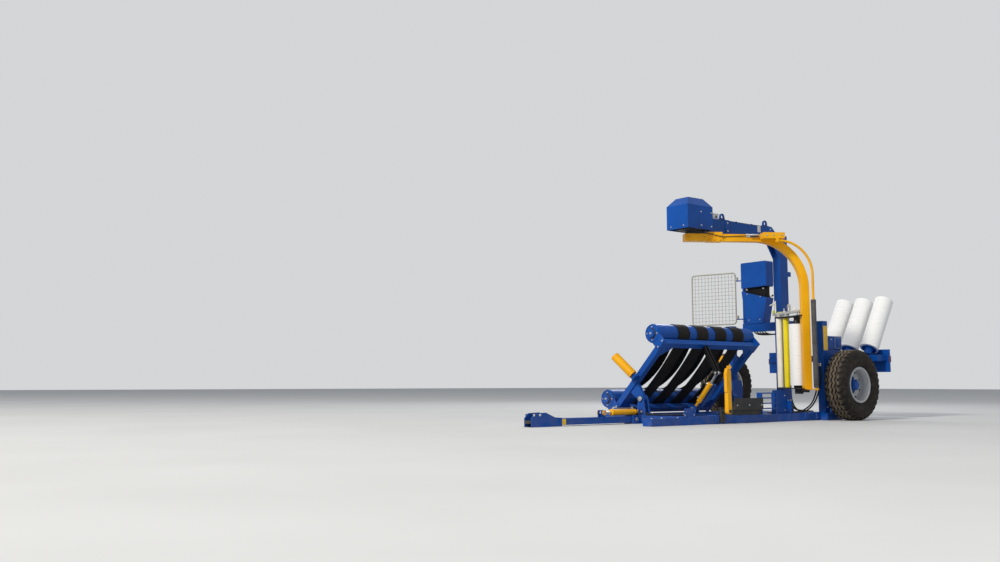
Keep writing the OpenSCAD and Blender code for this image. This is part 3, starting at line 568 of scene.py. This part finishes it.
for sy in (-1, 1):
    for x in (-1.505, -1.46):
        frame_bolts.append(((x, sy * 0.749, 0.865), Y * sy, 0.005))
        frame_bolts.append(((x, sy * 0.749, 1.135), Y * sy, 0.005))
    frame_bolts += [((-1.48, sy * 0.745, z), Y * sy, 0.011) for z in (0.16, 0.34, 0.52)]
    frame_bolts += [((x, sy * 0.78, z), Y * sy, 0.012)
                    for x, z in ((-1.56, 0.13), (-1.66, 0.13), (-1.735, 0.40), (-1.605, 0.40))]
    frame_bolts += [((sy * 0.795 + d, -0.14 + e, 0.105), Z, 0.007) for d in (-0.06, 0.06) for e in (-0.09, 0.09)]
for x in (0.83, 0.97):
    frame_bolts.append(((x, 0.652, 0.105), Y, 0.006))
for x in (-0.82, -0.66):
    frame_bolts += [((x, 0.612, z), Y, 0.007) for z in (0.13, 0.30)]
for x in (-0.27, -0.05, 0.16):
    frame_bolts += [((x, 0.70, 0.20), Y, 0.007), ((x, 0.646, 0.1752), Z, 0.006)]
for x in (0.95, 1.05, 1.30, 1.45):
    frame_bolts.append(((x, 0.62, 0.078), Z, 0.009))
for y in (0.10, 0.30, 0.50):
    frame_bolts.append(((1.05, y, 0.045), X, 0.009))

table_bolts = []
for s in (-1, 1):
    for t in (-1, 1):
        for k in range(4):
            a = math.pi / 2 * k + math.pi / 4
            y, z = t * ROLLER_Y + 0.075 * math.cos(a), ROLLER_Z + 0.075 * math.sin(a)
            table_bolts.append(((s * BEARING_X, y, z), X * s, 0.008))
        table_bolts += [((s * BEARING_X, t * ROLLER_Y + d, 0.478), X * s, 0.009) for d in (-0.045, 0.045)]
        table_bolts.append(((s * 0.870, t * ROLLER_Y, ROLLER_Z), X * s, 0.012))

arm_bolts, hub_bolts = [], []
for x in (0.165, 0.215, 0.285):
    for sy in (-1, 1):
        hub_bolts.append(((x, sy * 0.055, 2.225), ARM_Y * sy, 0.010))
        hub_bolts.append(((x, sy * 0.055, 2.175), ARM_Y * sy, 0.010))
for x in (-0.1, 0.1):
    hub_bolts += [((x, sy * 0.060, 2.20), ARM_Y * sy, 0.011) for sy in (-1, 1)]
for x in (0.82, 0.90, 1.0):
    arm_bolts.append(((x, -0.190, 2.214), -ARM_Y, 0.008))
for z in (STRETCH_TOP, 0.358):
    arm_bolts += [((x, 0.059, z + 0.02), ARM_Y, 0.009) for x in (1.305, 1.355)]
for x, y in ((1.26, 0.02), (1.26, 0.16), (1.19, 0.25), (1.34, 0.10), (1.345, 0.22)):
    arm_bolts.append(((x, y, STRETCH_TOP), Z, 0.007))


def bolts(name, rows, place, body, finish=zinc):
    """One piece of bolts from rows of (place, direction, size)."""
    bm = bmesh.new()
    for at, axis, size in rows:
        bolt(bm, place @ Vector(at), axis, size)
    make(name, bm, finish, body, smooth=25)


ONE = Matrix.Identity(4)
bolts("frame_bolts", frame_bolts, ONE, "frame")
bolts("table_bolts", table_bolts, TABLE, "table")
bolts("arm_bolts", arm_bolts, ARM, "wrapping_arm")
bolts("hub_bolts", hub_bolts, ARM, "wrapping_arm", yellow)

# Boom: a junction box with a cap, its cable and clips, and a bare white plate

bm = bmesh.new()
slab(bm, (-0.380, -0.045, 2.4505), (-0.225, 0.045, 2.524), 0.006)
slab(bm, (-0.384, -0.049, 2.514), (-0.221, 0.049, 2.529), 0.004)
slab(bm, (-1.15, 0.0803, 2.366), (-1.09, 0.0818, 2.446), 0.0006)
make("boom_box", bm, white, "frame")
bm = bmesh.new()
slab(bm, (-0.350, 0.0445, 2.474), (-0.322, 0.0480, 2.502), 0.001)
tube(bm, smooth_path([(-0.379, 0.03, 2.466), (-0.395, 0.035, 2.464), (-0.42, 0.045, 2.459), (-0.47, 0.055, 2.4665),
                      (-0.56, 0.05, 2.457), (-1.0, 0.05, 2.456), (-1.28, 0.05, 2.4575), (-1.36, 0.05, 2.467),
                      (-1.42, 0.045, 2.437), (-1.52, 0.05, 2.372), (-1.66, 0.05, 2.371), (-1.7, 0.05, 2.355),
                      (-1.702, 0.05, 2.25), (-1.7, 0.05, 1.95)], 6), 0.0062, 8)
tube(bm, smooth_path([(-0.225, 0.0, 2.48), (-0.19, 0.0, 2.479), (-0.15, 0.0, 2.475), (-0.125, 0, 2.475)], 5), 0.0062, 8)
for x in (-0.70, -1.0, -1.2):
    slab(bm, (x - 0.009, 0.034, 2.4502), (x + 0.009, 0.066, 2.464), 0.002)
make("boom_cable", bm, dark, "frame")

# Arm: the sleeve of foam on the safety bar, a limit switch and the stretcher's gears, springs and latch

bm = bmesh.new()
lathe(bm, [(0.0152, 0.0), (0.026, 0.0), (0.0300, 0.006), (0.0300, 0.30), (0.0296, 0.70), (0.0300, 1.044),
           (0.026, 1.050), (0.0152, 1.050)], 32, ARM @ Matrix.Translation((*SAFETY_BAR, 0.394)))
sleeve = make("foam_sleeve", bm, foam, "wrapping_arm")
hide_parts("safety_sleeve")
bm = bmesh.new()
for z in (0.43, 0.92, 1.41):
    lathe(bm, [(0.0303, 0), (0.0318, 0), (0.0318, 0.005), (0.0303, 0.005)], 28,
          ARM @ Matrix.Translation((*SAFETY_BAR, z)))
slab(bm, (0.660, -0.074, 2.208), (0.760, -0.0500, 2.222), 0.003, place=ARM)
tube(bm, placed(ARM, smooth_path([(0.64, -0.058, 2.225), (0.60, -0.056, 2.222), (0.45, -0.050, 2.215),
                                  (0.34, -0.050, 2.21), (0.33, -0.060, 2.205), (0.15, -0.062, 2.245),
                                  (0.12, -0.066, 2.2455)], 6)), 0.0045, 8)
for x, y in (REAR_STRETCH, FRONT_STRETCH):
    for z in (0.3905, 1.2548):
        lathe(bm, [(0.0102, 0), (0.024, 0), (0.024, 0.0048), (0.0102, 0.0048)], 24,
              ARM @ Matrix.Translation((x, y, z)))
lathe(bm, [(CORE_R, 1.172), (0.060, 1.172), (0.060, 1.180), (0.047, 1.196), (0.044, 1.215), (CORE_R, 1.215)], 36,
      ARM @ Matrix.Translation((*FILM_ROLL, 0)))
make("arm_fittings", bm, dark, "wrapping_arm")


def gear(bm, at, r, teeth):
    """A flat spur gear on the stretcher's top plate."""
    pts = []
    for k in range(teeth):
        for f, rr in ((0.0, r * 0.90), (0.22, r * 0.90), (0.36, r), (0.64, r), (0.78, r * 0.90)):
            a = 2 * math.pi * (k + f) / teeth
            pts.append((rr * math.cos(a), rr * math.sin(a)))
    prism(bm, pts, ARM @ Matrix.Translation((*at, 1.2735)), 0.016)


def spring(bm, a, b, r, thick, turns, steps=10):
    """A coil of round wire between two points."""
    rot, n = frame_of(b - a), turns * steps
    pts = []
    for i in range(n + 1):
        t = 2 * math.pi * i / steps
        pts.append(a + rot @ Vector((r * math.cos(t), r * math.sin(t), (b - a).length * i / n)))
    tube(bm, pts, thick, 6)


bm = bmesh.new()
gear(bm, REAR_STRETCH, 0.046, 22)
gear(bm, FRONT_STRETCH, 0.050, 24)
for x, y in (REAR_STRETCH, FRONT_STRETCH):
    lathe(bm, [(AXIS, 1.289), (0.014, 1.289), (0.014, 1.302), (AXIS, 1.304)], 20,
          ARM @ Matrix.Translation((x, y, 0)))
slab(bm, (0.610, -0.0530, 2.206), (0.800, -0.0451, 2.246), 0.002, place=ARM)
slab(bm, (0.650, -0.0760, 2.224), (0.770, -0.0510, 2.242), 0.004, place=ARM)
for x, y in ((1.300, 0.165), (1.160, 0.452)):
    lathe(bm, [(AXIS, 1.271), (0.011, 1.271), (0.011, 1.322), (AXIS, 1.322)], 20,
          ARM @ Matrix.Translation((x, y, 0)))
bar_end = (1.132, 0.545, 1.312)
bar_dir = Vector((1.322, 0.140, 1.326)) - Vector(bar_end)
BAR = ARM @ Matrix.Translation(bar_end) @ frame_of(bar_dir) @ Matrix.Rotation(math.radians(25.1), 4, "Z")
slab(bm, (-0.011, -0.016, 0.0), (0.011, 0.016, bar_dir.length), 0.003, place=BAR)
slab(bm, (-0.0145, -0.018, bar_dir.length - 0.030), (0.0145, 0.018, bar_dir.length + 0.004), 0.004, place=BAR)
spring(bm, *placed(ARM, [(*SPRING_POST, 1.333), (*SPRING_POST, 1.412)]), 0.023, 0.0042, 5)
tube(bm, placed(ARM, [(*SPRING_POST, z) for z in (1.325, 1.420)]), 0.007, 10)
bolt(bm, ARM @ Vector((*SPRING_POST, 1.414)), Z, 0.015)
for x, y, z, r in ((1.214, 0.374, 1.330, 0.017), (*REAR_STRETCH, 1.300, 0.020), (1.305, 0.176, 1.330, 0.014)):
    bolt(bm, ARM @ Vector((x, y, z)), Z, r)
tube(bm, placed(ARM, [(1.214, 0.374, z) for z in (1.325, 1.378)]), 0.008, 10)
make("stretcher_gears", bm, zinc, "wrapping_arm", smooth=30)
bm = bmesh.new()
lathe(bm, [(AXIS, 0), (0.017, 0), (0.019, 0.006), (0.019, 0.030), (0.014, 0.036), (AXIS, 0.037)], 24,
      ARM @ Matrix.Translation((1.140, 0.520, 1.325)))
tube(bm, placed(ARM, [(1.165, 0.470, 1.334), (1.200, 0.405, 1.336)]), 0.006, 10)
make("latch_bush", bm, lime, "wrapping_arm")
bm = bmesh.new()
tube(bm, placed(ARM, smooth_path([(1.152, 0.505, 1.325), (1.152, 0.505, 1.40), (1.151, 0.507, 1.480)], 3)), 0.0095, 12)
tube(bm, placed(ARM, smooth_path([(1.152, 0.503, 1.452), (1.140, 0.535, 1.448), (1.122, 0.575, 1.436),
                                  (1.112, 0.600, 1.428)], 5)), [0.0095] * 14 + [0.008, 0.004], 12)
lathe(bm, [(AXIS, 0), (0.012, 0), (0.015, 0.006), (0.013, 0.030), (0.008, 0.048), (AXIS, 0.050)], 20,
      ARM @ Matrix.Translation((1.292, 0.208, 1.334)))
make("latch_lever", bm, cream, "wrapping_arm")

# Film: card cores in the stored rolls and a wound edge on every roll


def wound_edge(bm, place, z, r):
    """Ledges in the end face of a roll where layers of film ended."""
    prof = [(CORE_R, z), (CORE_R, z + 0.0022), (r * 0.55, z + 0.0018), (r * 0.56, z + 0.0006), (r * 0.8, z + 0.0010),
            (r * 0.81, z + 0.0002), (r - 0.004, z + 0.0004), (r - 0.004, z)]
    lathe(bm, prof, 56, place)


bm, cores = bmesh.new(), bmesh.new()
for i in range(3):
    place = Matrix.Translation((-2.450, 0.150 + 0.290 * i, 0.890)) @ Matrix.Rotation(math.radians(-32), 4, "Y")
    wound_edge(bm, place, 0.7502, 0.115)
    lathe(cores, [(0.0378, 0.330), (0.0378, 0.757), (0.0335, 0.757), (0.0335, 0.330)], 40, place)
make("roll_edges", bm, film, "frame")
make("roll_cores", cores, core_mat, "frame")
bm = bmesh.new()
wound_edge(bm, ARM @ Matrix.Translation((*FILM_ROLL, 0)), 1.1702, 0.100)
make("arm_roll_edge", bm, film, "film_on_arm")

# Guard: round wires in a tube frame with round corners

bm = bmesh.new()
x0, x1, z0, z1, c = 0.026, 0.690, 0.010, 0.720, 0.045
loop = []
for cx, cz, a0 in ((x1 - c, z1 - c, 0), (x0 + c, z1 - c, 90), (x0 + c, z0 + c, 180), (x1 - c, z0 + c, 270)):
    for k in range(7):
        a = math.radians(a0 + 15 * k)
        loop.append(GUARD @ Vector((cx + c * math.cos(a), 0, cz + c * math.sin(a))))
tube(bm, loop + [loop[0]], 0.0095, 10, cap=False)
for i in range(1, 13):
    tube(bm, placed(GUARD, [(x0 + 0.0511 * i, 0.0024, z) for z in (z0, z1)]), 0.0025, 6)
for i in range(1, 14):
    tube(bm, placed(GUARD, [(x, -0.0024, z0 + 0.0507 * i) for x in (x0, x1)]), 0.0025, 6)
for z in (0.080, 0.610):
    lathe(bm, [(0.0084, z), (0.0158, z), (0.0158, z + 0.040), (0.0084, z + 0.040)], 24, GUARD)
    slab(bm, (0.013, -0.006, z + 0.002), (0.030, 0.006, z + 0.038), 0.002, place=GUARD)
guard = make("wire_guard", bm, wire, "guard")
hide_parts("mesh_guard")

# Lamps on their carriers, with reflectors beside them and on the carriers' outer ends

bm = bmesh.new()
for sy in (-1, 1):
    y = sy * 0.85
    slab(bm, (-2.610, y - 0.054, 0.672), (-2.6002, y + 0.054, 0.798), 0.002, 0)
    slab(bm, (-2.624, y - 0.050, 0.676), (-2.609, y + 0.050, 0.750), 0.004, 1)
    slab(bm, (-2.624, y - 0.050, 0.752), (-2.609, y + 0.050, 0.794), 0.004, 2)
    slab(bm, (-2.603, y + sy * 0.060, 0.615), (-2.5998, y + sy * 0.078, 0.655), 0.001, 1)
    slab(bm, (-2.607, sy * 0.9295, 0.715), (-2.573, sy * 0.937, 0.795), 0.002, 1)
o = make("lamps", bm, [dark, lamp, amber], "frame")
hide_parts("tail_lamps")

# Guide rollers: end caps, and the bolts in the shafts' ends

for word, s in (("front", 1), ("rear", -1)):
    place = TABLE @ Matrix.Translation((s * 0.870, 0, 0.496)) @ Matrix.Rotation(math.radians(14 * s), 4, "Y")
    bm = bmesh.new()
    lathe(bm, [(0.0156, 0.3402), (0.050, 0.3402), (0.050, 0.3425), (0.0156, 0.3445)], 36, place)
    lathe(bm, [(0.0522, 0.050), (0.0535, 0.052), (0.0535, 0.060), (0.0522, 0.062)], 40, place)
    make(word + "_guide_cap", bm, yellow, "guide_" + word)
    bm = bmesh.new()
    bolt(bm, place @ Vector((0, 0, 0.342)), place.to_3x3() @ Z, 0.011)
    make(word + "_guide_bolt", bm, zinc, "table", smooth=25)

# Hoses down the mast and along the near beam, two that hang down behind it, and their fittings


def console_run(k):
    """Where one of the console's five hoses runs, down to the mast's foot."""
    x, y, side, out = -1.80 + 0.012 * (k % 2), -0.43 - 0.04 * k, -0.02 + 0.021 * k, -1.812 + 0.004 * k
    return [(x, y, 1.252), (x + 0.002, y, 1.20), (out, y + 0.05, 1.120), (out, y + 0.20, 1.095),
            (-1.80, -0.20 + 0.02 * k, 1.10), (-1.790, side - 0.065, 1.06), (-1.748, side, 0.98),
            (-1.700, side, 0.80), (-1.699, side, 0.40)]


bm, ends = bmesh.new(), bmesh.new()
ROUTE = [(-1.45, 0.540, 0.0993), (-1.15, 0.538, 0.075), (-0.80, 0.537, 0.0993), (-0.30, 0.533, 0.060),
         (0.20, 0.526, 0.058), (0.60, 0.510, 0.085), (0.79, 0.470, 0.0995), (0.93, 0.330, 0.0995),
         (0.985, 0.120, 0.100)]
for off, run, last in ((0, 4, (0.990, 0.075, 0.118)), (0.026, 3, (0.962, 0.070, 0.116))):
    foot = [(-1.703, 0.075 - off, 0.22), (-1.692, 0.15 - off, 0.118), (-1.62, 0.32 - off, 0.104),
            (-1.53, 0.47 - off, 0.103)]
    beam = [(x - (off if i > 5 else 0), y - (off if i < 7 else 0), z) for i, (x, y, z) in enumerate(ROUTE)]
    tube(bm, smooth_path(console_run(run) + foot + beam + [last], 7), 0.0088, 10)
for k, (x, y) in enumerate(((-1.428, 0.700), (-1.420, 0.672))):
    tube(bm, smooth_path([(x, y, 0.66), (x + 0.018, y, 0.46), (x + 0.065, y - 0.012, 0.30), (x + 0.14, y - 0.026, 0.19),
                          (x + 0.25 + 0.03 * k, y - 0.046, 0.117), (x + 0.33 + 0.03 * k, y - 0.058, 0.1075),
                          (x + 0.43 + 0.04 * k, y - 0.070, 0.0995)], 7), 0.0088, 10)
    lathe(ends, [(AXIS, 0), (0.012, 0), (0.012, 0.035), (0.010, 0.040), (AXIS, 0.040)], 6,
          Matrix.Translation((x, y, 0.655)))
hoses = make("beam_hoses", bm, hose_mat, "frame")
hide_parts("base_hoses")
for x, y0, y1 in ((-0.80, 0.500, 0.565), (0.79, 0.470, 0.520)):
    slab(ends, (x - 0.008, y0, 0.0902), (x + 0.008, y1, 0.1115), 0.003)
slab(ends, (-1.7120, -0.0285, 0.460), (-1.6895, 0.0785, 0.485), 0.003)
make("hose_ends", ends, zinc, "frame")

# Cylinders: gland rings, ports, a steel pipe along the barrel and the hose at its foot

TIP_HOSE_END = ((0.132, 0.022, 0.0500), (0.120, 0.050, 0.0480), (0.120, 0.078, 0.0360), (0.120, 0.084, 0.0150))
HITCH_HOSE_END = ((0.076, 0.013, 0.0520), (0.052, 0.010, 0.0380), (0.047, 0.005, 0.0200), (0.047, 0.002, 0.0060))
CYLINDERS = (("tip", TIP, 0.110, 0.390, 0.028, "tip_cylinder", TIP_HOSE_END),
             ("hitch", HITCH, 0.068, 0.430, 0.034, "hitch_cylinder", HITCH_HOSE_END))
for name, place, x0, x1, r, body, hose_end in CYLINDERS:
    along = place @ frame_of(X)
    bm = bmesh.new()
    lathe(bm, [(r - 0.001, x1 - 0.018), (r + 0.0032, x1 - 0.016), (r + 0.0032, x1 - 0.001), (r - 0.004, x1 + 0.003),
               (0.0158, x1 + 0.003), (0.0158, x1 - 0.002)], 36, along)
    lathe(bm, [(r - 0.001, x0 + 0.002), (r + 0.002, x0 + 0.003), (r + 0.002, x0 + 0.014), (r - 0.001, x0 + 0.016)], 36,
          along)
    make(name + "_rings", bm, yellow, body)
    bm = bmesh.new()
    for x in (x0 + 0.030, x1 - 0.034):
        lathe(bm, [(AXIS, r - 0.002), (0.011, r - 0.002), (0.011, r + 0.010), (0.0085, r + 0.012),
                   (AXIS, r + 0.012)], 24, place @ Matrix.Translation((x, 0, 0)))
        lathe(bm, [(AXIS, r + 0.011), (0.0095, r + 0.011), (0.0095, r + 0.022), (AXIS, r + 0.022)], 6,
              place @ Matrix.Translation((x, 0, 0)))
    tube(bm, placed(place, smooth_path([(x1 - 0.034, 0, r + 0.020), (x1 - 0.060, 0, r + 0.022),
                                        (x1 - 0.085, 0.012, r + 0.012), (x0 + 0.090, 0.012, r + 0.010),
                                        (x0 + 0.052, 0.012, r + 0.014)], 6)), 0.0042, 8)
    lathe(bm, [(AXIS, 0), (0.0085, 0), (0.0085, 0.016), (AXIS, 0.016)], 6,
          place @ Matrix.Translation((x0 + 0.058, 0.012, r + 0.014)) @ frame_of((-1, 0, 0.1)))
    make(name + "_ports", bm, zinc, body)
    bm = bmesh.new()
    tube(bm, placed(place, smooth_path([(x0 + 0.042, 0.012, r + 0.0155), *hose_end], 6)), 0.0072, 10)
    make(name + "_hose", bm, hose_mat, body)

# A strut beside the tipping cylinder's barrel, strapped to it

bm = bmesh.new()
slab(bm, (0.030, 0.056, -0.022), (0.372, 0.110, 0.022), 0.006, place=TIP)
for x in (0.135, 0.330):
    slab(bm, (x, 0.022, -0.019), (x + 0.022, 0.058, 0.019), 0.003, place=TIP)
make("tip_strut", bm, blue, "tip_cylinder")

# Heads of the pins, then the table's bearing rings and the rims and gussets of its plates

PIN_HEAD = [(AXIS, 0), (0.018, 0), (0.018, 0.004), (AXIS, 0.005)]

bm = bmesh.new()
for s in (-1, 1):
    place = Matrix.Translation((s * 0.847, -0.140, 0.270)) @ frame_of(X * s)
    lathe(bm, [(AXIS, 0), (0.030, 0), (0.030, 0.006), (0.027, 0.009), (AXIS, 0.009)], 32, place)
    lathe(bm, [(AXIS, 0.008), (0.006, 0.008), (0.006, 0.014), (0.0035, 0.018), (AXIS, 0.019)], 14, place)
    place = Matrix.Translation((1.130, s * 0.085, 0.050)) @ frame_of(Y * s)
    lathe(bm, [(AXIS, 0), (0.022, 0), (0.022, 0.006), (AXIS, 0.008)], 28, place)
    lathe(bm, PIN_HEAD, 24, Matrix.Translation(Vector(TIP_FOOT) + X * s * 0.036) @ frame_of(X * s))
    lathe(bm, PIN_HEAD, 24, Matrix.Translation(Vector(DRAW_FOOT) + Y * s * 0.038) @ frame_of(Y * s))
make("pin_heads", bm, zinc, "frame")
bm = bmesh.new()
for s in (-1, 1):
    lathe(bm, PIN_HEAD, 24, HITCH @ Matrix.Translation((DRAW_ROD_EYE, s * 0.040, 0)) @ frame_of(Y * s))
for x in (2.50, 2.58):
    for s in (-1, 1):
        bolt(bm, (x, s * 0.062, 0.122), Y * s, 0.011)
make("hitch_pins", bm, zinc, "hitch")
bm = bmesh.new()
for s in (-1, 1):
    lathe(bm, [(0.0185, 0), (0.027, 0), (0.027, 0.009), (0.024, 0.012), (0.0185, 0.012)], 28,
          HITCH @ Matrix.Translation((DRAW_ROD_EYE, s * 0.0395, 0)) @ frame_of(Y * s))
make("hitch_collars", bm, yellow, "hitch")
bm = bmesh.new()
for s in (-1, 1):
    lathe(bm, PIN_HEAD, 24, TABLE @ Matrix.Translation((TIP_X + s * 0.038, 0.438, 0.110)) @ frame_of(X * s))
make("table_pins", bm, zinc, "table")
bm, rims = bmesh.new(), bmesh.new()
for s in (-1, 1):
    for t in (-1, 1):
        place = TABLE @ Matrix.Translation((s * BEARING_X, t * ROLLER_Y, ROLLER_Z)) @ frame_of(X * s)
        lathe(bm, [(0.0485, 0), (0.0600, 0), (0.0600, 0.005), (0.0540, 0.009), (0.0485, 0.009)], 40, place)
        lathe(rims, [(0.0930, -0.001), (0.0930, 0.0045), (0.1000, 0.0045), (0.1018, 0.002), (0.1018, -0.001)], 56,
              place)
        place = TABLE @ Matrix.Translation((s * 0.760, t * 0.495, 0.458)) @ Matrix.Diagonal((-s, -t, 1, 1))
        prism(rims, [(0, 0), (0.13, 0), (0.13, 0.02), (0.02, 0.13), (0, 0.13)], place, 0.006)
make("bearing_rings", bm, castgrey, "table")
make("table_rims", rims, blue, "table")

# Console: control levers, a bare plate and a stop button behind, hoses below. Seams on the drive hood.
# Then a black block over the post under the console's cover, as painted shade in the gap there, and the sheet that
# closes the cover's front.

bm = bmesh.new()
for y in LEVERS:
    tube(bm, [(-1.880, y, 1.600), (-1.905, y, 1.605), (-1.935, y, 1.628)], 0.0045, 8)
    slab(bm, (-1.888, y - 0.017, 1.585), (-1.879, y + 0.017, 1.620), 0.003)
slab(bm, (-1.8855, -0.610, 1.330), (-1.8795, -0.450, 1.500), 0.004)
slab(bm, (-1.889, -0.585, 1.405), (-1.885, -0.560, 1.430), 0.002)
make("console_metal", bm, zinc, "frame")
bm = bmesh.new()
for y in LEVERS:
    lathe(bm, [(AXIS, 0), (0.009, 0.001), (0.0125, 0.012), (0.0115, 0.026), (AXIS, 0.031)], 18,
          Matrix.Translation((-1.928, y, 1.622)) @ frame_of((-0.8, 0, 0.6)))
for k in range(3):
    run = console_run(k)
    tube(bm, smooth_path(run + [(-1.70, run[-1][1], 0.0902)], 6), 0.0075, 8)
make("console_black", bm, hose_mat, "frame")
bm = bmesh.new()
slab(bm, (-1.8835, -0.360, 1.52), (-1.8795, -0.350, 1.59), 0.001)
lathe(bm, [(AXIS, 0), (0.024, 0), (0.024, 0.004), (AXIS, 0.004)], 28, Matrix.Translation(STOP) @ frame_of(-X))
make("stop_base", bm, marker, "frame")
bm = bmesh.new()
lathe(bm, [(AXIS, 0.003), (0.008, 0.003), (0.008, 0.012), (0.017, 0.014), (0.0175, 0.019), (0.012, 0.024),
           (AXIS, 0.026)], 28, Matrix.Translation(STOP) @ frame_of(-X))
make("stop_button", bm, lamp, "frame")
bm = bmesh.new()
for sy in (-1, 1):
    slab(bm, (0.1285, sy * 0.1676, 2.292), (0.1305, sy * 0.1684, 2.552), 0.0)
    slab(bm, (-0.122, sy * 0.1676, 2.2905), (0.310, sy * 0.1684, 2.2925), 0.0)
make("seams", bm, dark, "frame")
bm = bmesh.new()
# Painted shade: a black block over the post, darkening the gap under the console's cover.
slab(bm, (-1.8520, -0.6625, 1.590), (-1.7675, -0.3375, 1.7445), 0.003)
make("console_gap_shade", bm, black, "frame")
bm = bmesh.new()
cover = [(-0.715, 1.740), (-0.295, 1.752), (-0.295, 2.075), (-0.310, 2.090), (-0.700, 2.090), (-0.715, 2.075)]
prism(bm, cover, Matrix.Translation((-1.7300, 0, 0)) @ ACROSS, 0.004, bevel=0.002)
prism(bm, [(-0.690, 1.7405), (-0.320, 1.7515), (-0.322, 1.757), (-0.688, 1.746)],
      Matrix.Translation((-1.7265, 0, 0)) @ ACROSS, 0.004)
make("console_front", bm, blue, "frame")

# Film store: a clear reflector on its plate, and two bolts beside it

bm = bmesh.new()
slab(bm, (-1.876, 0.7055, 0.872), (-1.724, 0.7080, 1.022), 0.001, 0)
slab(bm, (-1.868, 0.7075, 0.880), (-1.732, 0.7125, 1.014), 0.003, 1)
for x in (-1.66, -1.57):
    bolt(bm, (x, 0.7058, 0.990), Y, 0.008, 2)
make("reflector_plate", bm, [blue, clear, zinc], "frame")

# Stage: a plain pale floor, an even background, and three soft lights

floor_me = bpy.data.meshes.new("floor")
fbm = bmesh.new()
bmesh.ops.create_grid(fbm, x_segments=1, y_segments=1, size=60)
fbm.to_mesh(floor_me)
fbm.free()
floor = bpy.data.objects.new("floor", floor_me)
floor.location = (0, 0, -0.001)
scene.collection.objects.link(floor)
fm = Mat("pale_floor")
fm.link(fm.mix(fm.range(fm.noise(0.6, 3), 0.3, 0.7), (0.62, 0.62, 0.61, 1), (0.66, 0.66, 0.65, 1)),
        fm.bsdf.inputs["Base Color"])
fm.link(fm.range(fm.noise(3, 2), 0.3, 0.7, 0.85, 0.9), fm.bsdf.inputs["Roughness"])
fm.bsdf.inputs["Specular IOR Level"].default_value = 0.08
floor_me.materials.append(fm.m)

world = bpy.data.worlds.new("world")
scene.world = world
world.use_nodes = True
wn = world.node_tree
wn.nodes.clear()
w_out = wn.nodes.new("ShaderNodeOutputWorld")
soft = wn.nodes.new("ShaderNodeBackground")
soft.inputs["Color"].default_value = (0.86, 0.91, 1.0, 1)
soft.inputs["Strength"].default_value = 0.42
back = wn.nodes.new("ShaderNodeBackground")
back.inputs["Color"].default_value = (0.66, 0.67, 0.68, 1)
back.inputs["Strength"].default_value = 1.0
path = wn.nodes.new("ShaderNodeLightPath")
pick = wn.nodes.new("ShaderNodeMixShader")
seen = path.outputs["Is Camera Ray"]
for ray in ("Is Glossy Ray", "Is Transmission Ray"):
    add = wn.nodes.new("ShaderNodeMath")
    add.operation, add.use_clamp = "ADD", True
    wn.links.new(seen, add.inputs[0])
    wn.links.new(path.outputs[ray], add.inputs[1])
    seen = add.outputs[0]
wn.links.new(seen, pick.inputs[0])
wn.links.new(soft.outputs[0], pick.inputs[1])
wn.links.new(back.outputs[0], pick.inputs[2])
wn.links.new(pick.outputs[0], w_out.inputs[0])


def area(name, at, target, size, power, colour):
    """A round soft light, aimed at a point."""
    d = bpy.data.lights.new(name, "AREA")
    d.shape, d.size, d.energy, d.color = "DISK", size, power, colour
    o = bpy.data.objects.new(name, d)
    o.location = at
    o.rotation_mode = "QUATERNION"
    o.rotation_quaternion = (Vector(target) - Vector(at)).to_track_quat("-Z", "Y")
    scene.collection.objects.link(o)


area("key", (22.4, 2.0, 18.2), (-0.4, 0, 0.8), 4.8, 6000, (1.0, 0.965, 0.90))
area("fill", (6.0, 10.0, 5.0), (-0.5, 0, 1.0), 5.0, 70, (0.93, 0.96, 1.0))
area("rim_light", (-7.0, -6.0, 7.0), (-0.5, 0, 1.0), 4.0, 260, (0.96, 0.97, 1.0))

scene.view_settings.view_transform = "Standard"
bpy.context.view_layer.update()
